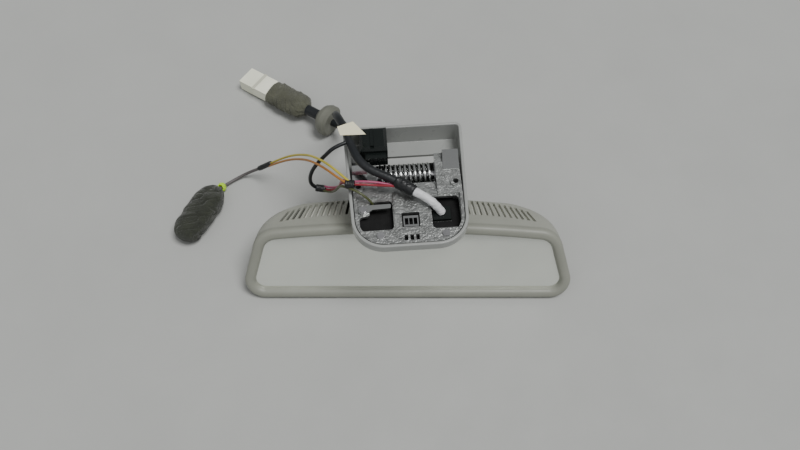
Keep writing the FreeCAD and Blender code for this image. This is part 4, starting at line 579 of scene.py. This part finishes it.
@dataclass
class Mount:
    """Open tub of the mount with its frame, lever, clips, spring and plugs."""

    tub: Finish = COVER_GREY
    casting: Finish = DIE_CAST

    def dress(self) -> None:
        """Give the mount's nodes their finishes."""
        dress(self.tub, "mount_cover")
        dress(self.casting, "mount_frame")
        # Painted shade: floor_lining is a black sheet on the tub's floor under the frame's windows,
        # standing for the deep shade there.
        dress(PAD_BLACK, "floor_lining")
        dress(BRIGHT_STEEL, "lock_lever", "retaining_clip_right", "retaining_clip_left", "pivot_spring",
              "middle_clip")
        dress(PLAIN_STEEL, "frame_screws", "lever_pin", "pivot_shaft", "shaft_clips", "spring_washers")
        dress(PLUG_BLACK, "harness_plug", "plug_latch", "bundle_plug", "lead_socket")


# ---------------------------------------------------------------- wiring

def smooth_line(name: str, route: Route) -> bpy.types.Curve:
    """Curve data with one smooth spline of the third order that starts and ends on a route's end points.

    Args:
        name: name of the curve.
        route: control points in millimetres.

    Returns:
        The curve, with no thickness.
    """
    curve = bpy.data.curves.new(name, "CURVE")
    curve.dimensions = "3D"
    spline = curve.splines.new("NURBS")
    spline.points.add(len(route) - 1)
    for point, spot in zip(spline.points, route):
        point.co = (*(value * MM for value in spot), 1.0)
    spline.order_u = 3
    spline.use_endpoint_u = True
    spline.resolution_u = 12
    return curve


def line_points(name: str, route: Route) -> np.ndarray:
    """Read points in metres off the smooth line that a route's control points give.

    Args:
        name: name of the line.
        route: control points in millimetres.

    Returns:
        The points, one row each.
    """
    carrier = bpy.data.objects.new(name, smooth_line(name, route))
    mesh = bpy.data.meshes.new_from_object(carrier)
    points = np.empty(3 * len(mesh.vertices))
    mesh.vertices.foreach_get("co", points)
    bpy.data.objects.remove(carrier)
    return points.reshape(-1, 3)


@dataclass
class Cord:
    """One free cord along given points, in millimetres."""

    node: str
    route: Route
    radius: float
    length: float
    finish: Finish
    slot: str
    far_end: str = "object"
    pieces: list[bpy.types.Object] = field(default_factory=list)

    def build(self) -> bpy.types.Object:
        """Returns:
            The curve object.
        """
        curve = smooth_line(f"{self.node}_line", self.route)
        curve.bevel_depth = self.radius * MM
        curve.bevel_resolution = 6
        curve.use_fill_caps = True
        curve.materials.append(self.finish.material())
        piece = bpy.data.objects.new(f"{self.node}_curve", curve)
        bpy.context.scene.collection.objects.link(piece)
        settle(piece, self.slot, self.node)
        return piece


LOOM_ROUTE: Route = (
    (-5.0, -4.1, 6.9), (-13.5, 1.2, 8.2), (-22.0, 5.2, 9.2), (-30.0, 10.6, 10.0),
    (-35.6, 18.4, 10.4), (-38.8, 28.0, 10.2), (-41.6, 38.0, 10.6), (-45.0, 48.5, 11.4),
    (-48.4, 58.4, 8.4), (-50.0, 67.4, 0.2), (-50.0, 75.4, -12.4), (-48.6, 82.6, -27.0),
    (-47.2, 87.2, -36.8), (-45.8, 93.4, -48.2), (-45.3, 100.0, -60.2), (-48.3, 106.3, -67.4),
    (-54.29, 113.0, -71.76), (-69.04, 124.88, -73.5), (-77.57, 131.75, -74.16),
)
BRANCH_ROUTE: Route = (
    (-41.0, 33.8, 10.2), (-51.4, 29.9, 10.4), (-58.6, 28.0, 3.5), (-65.9, 28.7, -8.0),
    (-71.5, 29.4, -20.0), (-74.1, 29.6, -32.0), (-72.3, 29.8, -42.0), (-66.7, 30.7, -47.0),
)
RED_ROUTE: Route = (
    (-66.0, 30.0, -46.0), (-60.6, 27.0, -44.4), (-55.6, 21.6, -35.8), (-51.8, 14.4, -22.6),
    (-49.8, 8.4, -9.6), (-48.0, 3.4, 2.6), (-41.8, -1.6, 5.9), (-33.0, -2.8, 7.0),
    (-23.0, -3.6, 6.0), (-14.0, -5.0, 6.6), (-6.5, -6.2, 6.6),
)
PINK_ROUTE: Route = (
    (-66.2, 31.4, -44.4), (-59.6, 28.4, -42.6), (-54.2, 22.8, -34.4), (-50.4, 15.8, -21.6),
    (-49.0, 9.8, -8.4), (-47.6, 5.4, 2.8), (-41.2, 0.4, 6.4), (-32.0, -0.8, 8.0),
    (-22.0, -1.6, 6.7), (-13.0, -3.2, 5.2), (-6.0, -5.0, 4.9),
)
OLIVE_ROUTE: Route = (
    (-66.4, 28.8, -45.6), (-61.4, 25.2, -43.6), (-57.6, 19.6, -36.0), (-54.4, 12.6, -23.4),
    (-52.0, 6.2, -11.0), (-49.8, 1.4, 1.0), (-43.6, -3.6, 5.2), (-36.8, -7.6, 5.6),
    (-30.6, -11.4, 2.6), (-26.6, -13.5, -2.4), (-25.5, -13.8, -7.6),
)
YELLOW_ROUTE: Route = (
    (-42.2, -0.4, 8.2), (-48.6, 5.8, 9.8), (-55.4, 14.0, 8.6), (-62.8, 24.0, 3.0),
    (-72.0, 36.6, -8.0), (-84.0, 49.6, -25.0), (-97.0, 60.2, -43.8), (-109.0, 66.8, -60.2),
)
ORANGE_ROUTE: Route = (
    (-42.4, -2.8, 7.9), (-49.8, 3.2, 7.8), (-57.2, 12.0, 5.6), (-65.0, 22.8, -1.2),
    (-73.8, 35.2, -12.2), (-85.8, 48.0, -28.4), (-98.4, 58.6, -46.4), (-109.8, 65.4, -61.6),
)
MIC_ROUTE: Route = (
    (-117.6, 69.2, -69.2), (-127.6, 72.4, -78.4), (-137.4, 71.2, -83.6), (-146.2, 66.4, -84.4),
    (-152.2, 60.8, -82.0), (-156.4, 55.0, -78.6),
)
BOOT_ROUTE: Route = (
    (3.8, -10.4, 5.7), (11.2, -14.6, 4.8), (17.9, -18.8, 1.2), (23.0, -22.2, -4.8),
    (24.4, -23.2, -6.9),
)


@dataclass
class Wiring:
    """Loom, branch, single wires and lead, with the tape, sleeve, label and tie that bind them."""

    around: int = 64
    rings: int = 40
    turns_of_tape: float = 4.0
    boot_radius: float = 3.3
    label_corners: tuple[tuple[float, float], ...] = ((-49.0, 45.0), (-47.0, 37.0), (-28.0, 36.5),
                                                      (-37.0, 49.0))
    label_level: float = 14.28
    label_arch: float = 0.10
    label_thick: float = 0.16
    label_grid: int = 24
    tie_ring: float = 2.75
    tie_thick: float = 1.0
    tie_wide: float = 1.9
    tie_beads: float = 11.0
    wound: dict[str, tuple[Point, Point, float]] = field(default_factory=lambda: {
        "loom_sleeve": ((4.5, -10.9, 5.6), (-8.5, -1.6, 7.4), 4.95),
        "crossing_tape": ((-45.4, -1.2, 6.2), (-38.4, -2.2, 6.8), 3.3),
        "branch_tape": ((-70.4, 30.1, -44.4), (-62.2, 28.9, -45.4), 3.0),
        "microphone_tape": ((-107.4, 65.9, -58.2), (-119.6, 70.0, -71.2), 2.25),
    })

    def band(self, node: str) -> bpy.types.Object:
        """Wound tape: a tube with rounded ends, a spiral step for each turn and slight waves.

        Args:
            node: name of the plain solid that it stands for.

        Returns:
            The tape.
        """
        start, end, radius = self.wound[node]
        line = straight(start, end, self.rings)
        share = np.linspace(0.0, 1.0, self.rings)
        turn = np.linspace(0.0, 2.0 * math.pi, self.around, endpoint=False)
        ends = 0.80 + 0.20 * np.sqrt(np.clip(1.0 - np.abs(2.0 * share - 1.0) ** 8, 0.0, 1.0))
        spiral = (share[:, None] * self.turns_of_tape + turn[None, :] / (2.0 * math.pi)) % 1.0
        size = radius * MM * ends[:, None] * (0.955 + 0.03 * spiral
                                              + 0.012 * ripples(share, turn, len(node)))
        piece = tube_piece(f"{node}_wound", line, size, size, TAPE_BLACK)
        return settle(piece, "tape_black", node)

    def boot(self) -> bpy.types.Object:
        """White sleeve of the head's bundle: a tube on its smooth line with gathers across it.

        Returns:
            The sleeve.
        """
        line = line_points("boot_line", BOOT_ROUTE)
        share = np.linspace(0.0, 1.0, len(line))
        turn = np.linspace(0.0, 2.0 * math.pi, self.around, endpoint=False)
        round_end = np.sqrt(np.clip(1.0 - np.clip((share - 0.93) / 0.07, 0.0, 1.0) ** 2 * 0.6, 0.0, 1.0))
        gathers = 0.03 * np.sin(2.0 * math.pi * 5.0 * share)[:, None] + 0.04 * ripples(share, turn, 5)
        size = self.boot_radius * MM * round_end[:, None] * (0.95 + gathers)
        return settle(tube_piece("bundle_boot_sleeve", line, size, size, SLEEVE_WHITE), "boot_white",
                      "bundle_boot")

    def label(self) -> bpy.types.Object:
        """Blank paper flag: a quadrilateral sheet that arches over the loom, with a thickness.

        Height is the label's level plus a half wave along it times a half wave from crest to trough
        across it, so that one long side lies a little higher.

        Returns:
            The label.
        """
        corners = np.array(self.label_corners)
        count = self.label_grid
        u, v = (grid[:, :, None] for grid in np.meshgrid(np.linspace(0, 1, count),
                                                         np.linspace(0, 1, count), indexing="ij"))
        flat = ((1 - u) * (1 - v) * corners[0] + (1 - u) * v * corners[1]
                + u * v * corners[2] + u * (1 - v) * corners[3])
        wave = np.sin(math.pi * u[:, :, 0]) * np.cos(math.pi * v[:, :, 0])
        arch = self.label_level + self.label_arch * wave
        top = np.concatenate([flat, arch[:, :, None]], axis=2).reshape(-1, 3) * MM
        low = top - np.array([0.0, 0.0, self.label_thick * MM])
        i, j = (grid.ravel() for grid in np.meshgrid(np.arange(count - 1), np.arange(count - 1),
                                                     indexing="ij"))
        a = i * count + j
        sheet = np.stack([a, a + 1, a + count + 1, a + count], axis=-1)
        under = sheet[:, ::-1] + count * count
        loop = np.concatenate([np.arange(count), np.arange(2, count + 1) * count - 1,
                               count * count - 1 - np.arange(1, count),
                               np.arange(count - 2, 0, -1) * count])
        after = np.roll(loop, -1)
        wall = np.stack([after, loop, loop + count * count, after + count * count], axis=-1)
        faces = [tuple(map(int, face)) for face in np.vstack([sheet, under, wall])]
        piece = new_piece("loom_label_flag", np.vstack([top, low]), faces, LABEL_CREAM, smooth=False)
        return settle(piece, "label_cream", "loom_label")

    def tie(self) -> bpy.types.Object:
        """Lime tie: a twisted band round the bag's neck, beaded by its own twist.

        A ring round the lead's last stretch carries an oval section, whose size swells by a fifth as the
        sine of twice the section's angle plus eleven times the ring's angle.

        Returns:
            The tie.
        """
        start, end = np.array(MIC_ROUTE[-2]) * MM, np.array(MIC_ROUTE[-1]) * MM
        along = (end - start) / np.linalg.norm(end - start)
        side = np.cross(along, (0.0, 0.0, 1.0))
        side /= np.linalg.norm(side)
        upright = np.cross(side, along)
        turn = np.linspace(0.0, 2.0 * math.pi, 161)[:-1]
        outward = side[None, :] * np.cos(turn)[:, None] + upright[None, :] * np.sin(turn)[:, None]
        centre = start[None, :] + outward * self.tie_ring * MM
        cross = np.linspace(0.0, 2.0 * math.pi, 24, endpoint=False)
        lumps = 1.0 + 0.20 * np.sin(2.0 * cross[None, :] + self.tie_beads * turn[:, None])
        points = (centre[:, None, :]
                  + outward[:, None, :] * (np.cos(cross) * lumps * self.tie_thick * MM)[:, :, None]
                  + along[None, None, :] * (np.sin(cross) * lumps * self.tie_wide * MM)[:, :, None])
        rings, around = lumps.shape
        step = np.arange(rings)[:, None] * around
        ahead = (np.arange(rings)[:, None] + 1) % rings * around
        here = np.arange(around)[None, :]
        after = (here + 1) % around
        quads = np.stack([step + here, ahead + here, ahead + after, step + after], axis=-1)
        faces = [tuple(map(int, face)) for face in quads.reshape(-1, 4)]
        return settle(new_piece("bag_tie_band", points.reshape(-1, 3), faces, LIME), "tie_lime",
                      "bag_tie")

    def build(self, bag: bpy.types.Object, wrap: bpy.types.Object) -> None:
        """Make every cord and what binds it, and dress what is threaded on the loom.

        Args:
            bag: the foam bag at the microphone lead's end.
            wrap: the foam wrap on the loom.
        """
        tapes = {node: self.band(node) for node in self.wound}
        self.boot()
        label = self.label()
        tie = self.tie()
        dress(RUBBER_GREY, "loom_grommet")
        dress(CABLE_BLACK, "cable_collar")
        dress(IVORY, "loom_connector")
        # The lock takes the painted-shade copy of the connector's ivory.
        dress(IVORY_PAINTED_SHADE, "connector_lock")
        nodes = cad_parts
        on_loom = [tapes["loom_sleeve"], label, wrap,
                   *(nodes[n] for n in ("loom_grommet", "cable_collar", "loom_connector",
                                        "connector_lock"))]
        cords = (
            Cord("main_loom", LOOM_ROUTE, 3.15, 212.0, CABLE_BLACK, "cable_black", "connector", on_loom),
            Cord("branch_lead", BRANCH_ROUTE, 1.5, 77.0, CABLE_BLACK, "cable_black",
                 pieces=[tapes["branch_tape"]]),
            Cord("red_wire", RED_ROUTE, 0.9, 104.0, RED, "wire_red", pieces=[tapes["crossing_tape"]]),
            Cord("pink_wire", PINK_ROUTE, 0.9, 104.0, PINK, "wire_pink"),
            Cord("olive_wire", OLIVE_ROUTE, 0.9, 94.0, OLIVE, "wire_olive"),
            Cord("yellow_wire", YELLOW_ROUTE, 0.9, 123.0, YELLOW, "wire_yellow",
                 pieces=[tapes["microphone_tape"]]),
            Cord("orange_wire", ORANGE_ROUTE, 0.9, 123.0, ORANGE, "wire_orange"),
            Cord("microphone_lead", MIC_ROUTE, 1.3, 51.0, LEAD_GREY, "cable_grey", "fitting",
                 [bag, tie]),
        )
        for cord in cords:
            cord.build()


# ---------------------------------------------------------------- foam pieces

@dataclass
class FoamBag:
    """Foam bag, gathered by the tie at its near end."""

    centre: Point = (-168.5, 33.5, -76.8)
    heading: float = math.radians(59.5)
    half_long: float = 28.3
    half_wide: float = 14.0
    half_high: float = 9.4
    bluntness: int = 5
    neck_in: float = 0.24
    pleat_count: float = 9.0
    pleat_depth: float = 0.09
    crease_depth: float = 0.06
    rings: int = 150
    around: int = 180

    def build(self) -> bpy.types.Object:
        """Shape the bag.

        Half size at a place t from -1, the far end, to 1, the tie: (1 - |t|^5)^0.5, drawn in towards the
        tie and pleated lengthwise there, with one fold across the top, soft dents and sharp creases all
        over. Each ring lies halfway between an oval and the squarish one whose radius at an angle is
        (cos^4 + sin^4)^-0.25.

        Returns:
            The bag.
        """
        angle = np.linspace(0.0, math.pi, self.rings)
        t = -np.cos(angle) * 0.999
        share = (t + 1.0) / 2.0
        profile = np.sqrt(1.0 - np.abs(t) ** self.bluntness)
        neck = 1.0 - self.neck_in * smooth_step(0.55, 0.98, t)
        turn = np.linspace(0.0, 2.0 * math.pi, self.around, endpoint=False)
        square = (np.cos(turn) ** 4 + np.sin(turn) ** 4) ** -0.25
        pleats = (self.pleat_depth * smooth_step(0.55, 0.97, t)[:, None]
                  * np.cos(self.pleat_count * turn)[None, :])
        dents = 0.040 * ripples(share, turn, 21) + 0.022 * ripples(share, turn, 4, 24)
        fold = -0.09 * np.exp(-((t[:, None] - 0.62) / 0.10) ** 2 - ((turn[None, :] - 1.9) / 0.5) ** 2)
        valleys = creases(share, turn, 33, self.crease_depth)
        size = ((profile * neck)[:, None] * (0.5 + 0.5 * square)[None, :]
                * (0.90 + np.clip(pleats + dents + fold + valleys, -0.3, 0.09)))
        direction = np.array([math.cos(self.heading), math.sin(self.heading), 0.0])
        line = (np.array(self.centre)[None, :] + direction[None, :] * t[:, None] * self.half_long) * MM
        piece = tube_piece("foam_bag_skin", line, size * self.half_wide * MM,
                           size * self.half_high * MM, BAG_FOAM)
        settle(piece, "foam_dark", "foam_bag")
        return piece


@dataclass
class FoamWrap:
    """Foam strip wound round the loom behind its connector."""

    base: Point = (-60.5, 118.0, -72.4)
    tip: Point = (-135.0, 178.0, -80.1)
    start: float = 22.0
    long: float = 40.0
    half_near: float = 8.6
    half_wide: float = 13.5
    half_high: float = 8.5
    tuck: float = 0.14
    shoulder: float = 0.22
    turns: float = 2.2
    step_high: float = 0.06
    pinch_depth: float = 0.07
    crease_depth: float = 0.06
    rings: int = 130
    around: int = 180

    def build(self) -> bpy.types.Object:
        """Shape the wrap.

        Half sizes open out over the shoulder from the near end's round to a flat oval, as a quarter sine.
        A step that rises as the cube of the turn marks each lap of the strip. The near end is tucked in and
        pinched, the edge at the connector is cut plain, and dents and sharp creases run all over.

        Returns:
            The wrap.
        """
        base, tip = np.array(self.base), np.array(self.tip)
        direction = (tip - base) / np.linalg.norm(tip - base)
        share = np.linspace(0.0, 1.0, self.rings)
        line = (base + direction * (self.start + self.long * share[:, None])) * MM
        turn = np.linspace(0.0, 2.0 * math.pi, self.around, endpoint=False)
        grow = np.sin(0.5 * math.pi * np.clip(share / self.shoulder, 0.0, 1.0))
        wide = self.half_near + (self.half_wide - self.half_near) * grow
        high = self.half_near + (self.half_high - self.half_near) * grow
        past_tuck = np.clip(share / self.tuck, 0.0, 1.0)
        tucked = 0.62 + 0.38 * np.sqrt(np.clip(1.0 - (1.0 - past_tuck) ** 2, 0.0, 1.0))
        rolled = tucked * (1.0 - 0.10 * np.clip((share - 0.975) / 0.025, 0.0, 1.0) ** 2)
        spiral = (share[:, None] * self.turns + turn[None, :] / (2.0 * math.pi)) % 1.0
        steps = self.step_high * spiral ** 3
        near = (1.0 - smooth_step(0.0, 0.28, share))[:, None]
        pinch = -self.pinch_depth * np.abs(np.sin(5.0 * turn))[None, :] * near
        valleys = creases(share, turn, 17, self.crease_depth)
        folds = pinch + valleys + 0.034 * ripples(share, turn, 11) + 0.018 * ripples(share, turn, 8, 26)
        size = rolled[:, None] * (0.89 + np.clip(steps + folds, -0.2, 0.11))
        piece = tube_piece("foam_wrap_roll", line, wide[:, None] * size * MM, high[:, None] * size * MM,
                           WRAP_FOAM)
        settle(piece, "foam_grey", "foam_wrap")
        return piece


# ---------------------------------------------------------------- studio

@dataclass
class Studio:
    """Pale floor, soft lights and the camera, whose eye is in millimetres."""

    eye: Point = (-30.4, -338.0, 526.8)
    forward: Point = (0.0371, 0.4986, -0.8660)
    right: Point = (0.9973, -0.0741, 0.0)
    lens: float = 38.25
    reach: float = 3.0
    sky: Colour = (0.80, 0.81, 0.82)
    sky_strength: float = 0.34

    def floor(self) -> None:
        """Lay a wide pale floor under the object."""
        corner = self.reach
        points = np.array([(-corner, -corner, FLOOR_LEVEL), (corner, -corner, FLOOR_LEVEL),
                           (corner, corner, FLOOR_LEVEL), (-corner, corner, FLOOR_LEVEL)])
        new_piece("floor", points, [(0, 1, 2, 3)], FLOOR_PALE, smooth=False)

    def light(self, name: str, source: Point, spread: float, strength: float) -> None:
        """Hang one wide soft light that is even over the whole floor.

        Args:
            name: name of the light.
            source: direction that the light comes from.
            spread: how wide the light's source looks from the floor, in degrees.
            strength: watts on a square metre.
        """
        data = bpy.data.lights.new(name, "SUN")
        data.angle = math.radians(spread)
        data.energy = strength
        lamp = bpy.data.objects.new(name, data)
        lamp.location = source
        lamp.rotation_euler = (-Vector(source)).to_track_quat("-Z", "Y").to_euler()
        bpy.context.scene.collection.objects.link(lamp)

    def camera(self) -> None:
        """Place the camera that looks down on the mount."""
        data = bpy.data.cameras.new("camera")
        data.lens = self.lens
        data.sensor_width = 36.0
        data.clip_start = 0.01
        seen = bpy.data.objects.new("camera", data)
        right, forward = Vector(self.right), Vector(self.forward)
        upward = right.cross(forward)
        rows = Matrix((right, upward, -forward)).transposed().to_4x4()
        seen.matrix_world = Matrix.Translation(Vector(self.eye) * MM) @ rows
        bpy.context.scene.collection.objects.link(seen)
        bpy.context.scene.camera = seen

    def build(self) -> None:
        """Set up floor, sky, lights and camera."""
        self.floor()
        world = bpy.data.worlds.new("studio")
        world.use_nodes = True
        sky = world.node_tree.nodes["Background"]
        sky.inputs["Color"].default_value = (*self.sky, 1.0)
        sky.inputs["Strength"].default_value = self.sky_strength
        bpy.context.scene.world = world
        self.light("key", (0.50, -0.22, 1.5), 26.0, 2.45)
        self.light("fill", (-0.7, -0.8, 1.3), 60.0, 0.40)
        self.camera()


def main() -> None:
    """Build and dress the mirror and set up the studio."""
    logging.basicConfig(level=logging.INFO, format="%(name)s: %(message)s")
    for assembly in (MirrorHead(), BallArm(), Mount()):
        assembly.dress()
    bag = FoamBag().build()
    wrap = FoamWrap().build()
    Wiring().build(bag, wrap)
    Studio().build()


if __name__ == "__main__":
    main()
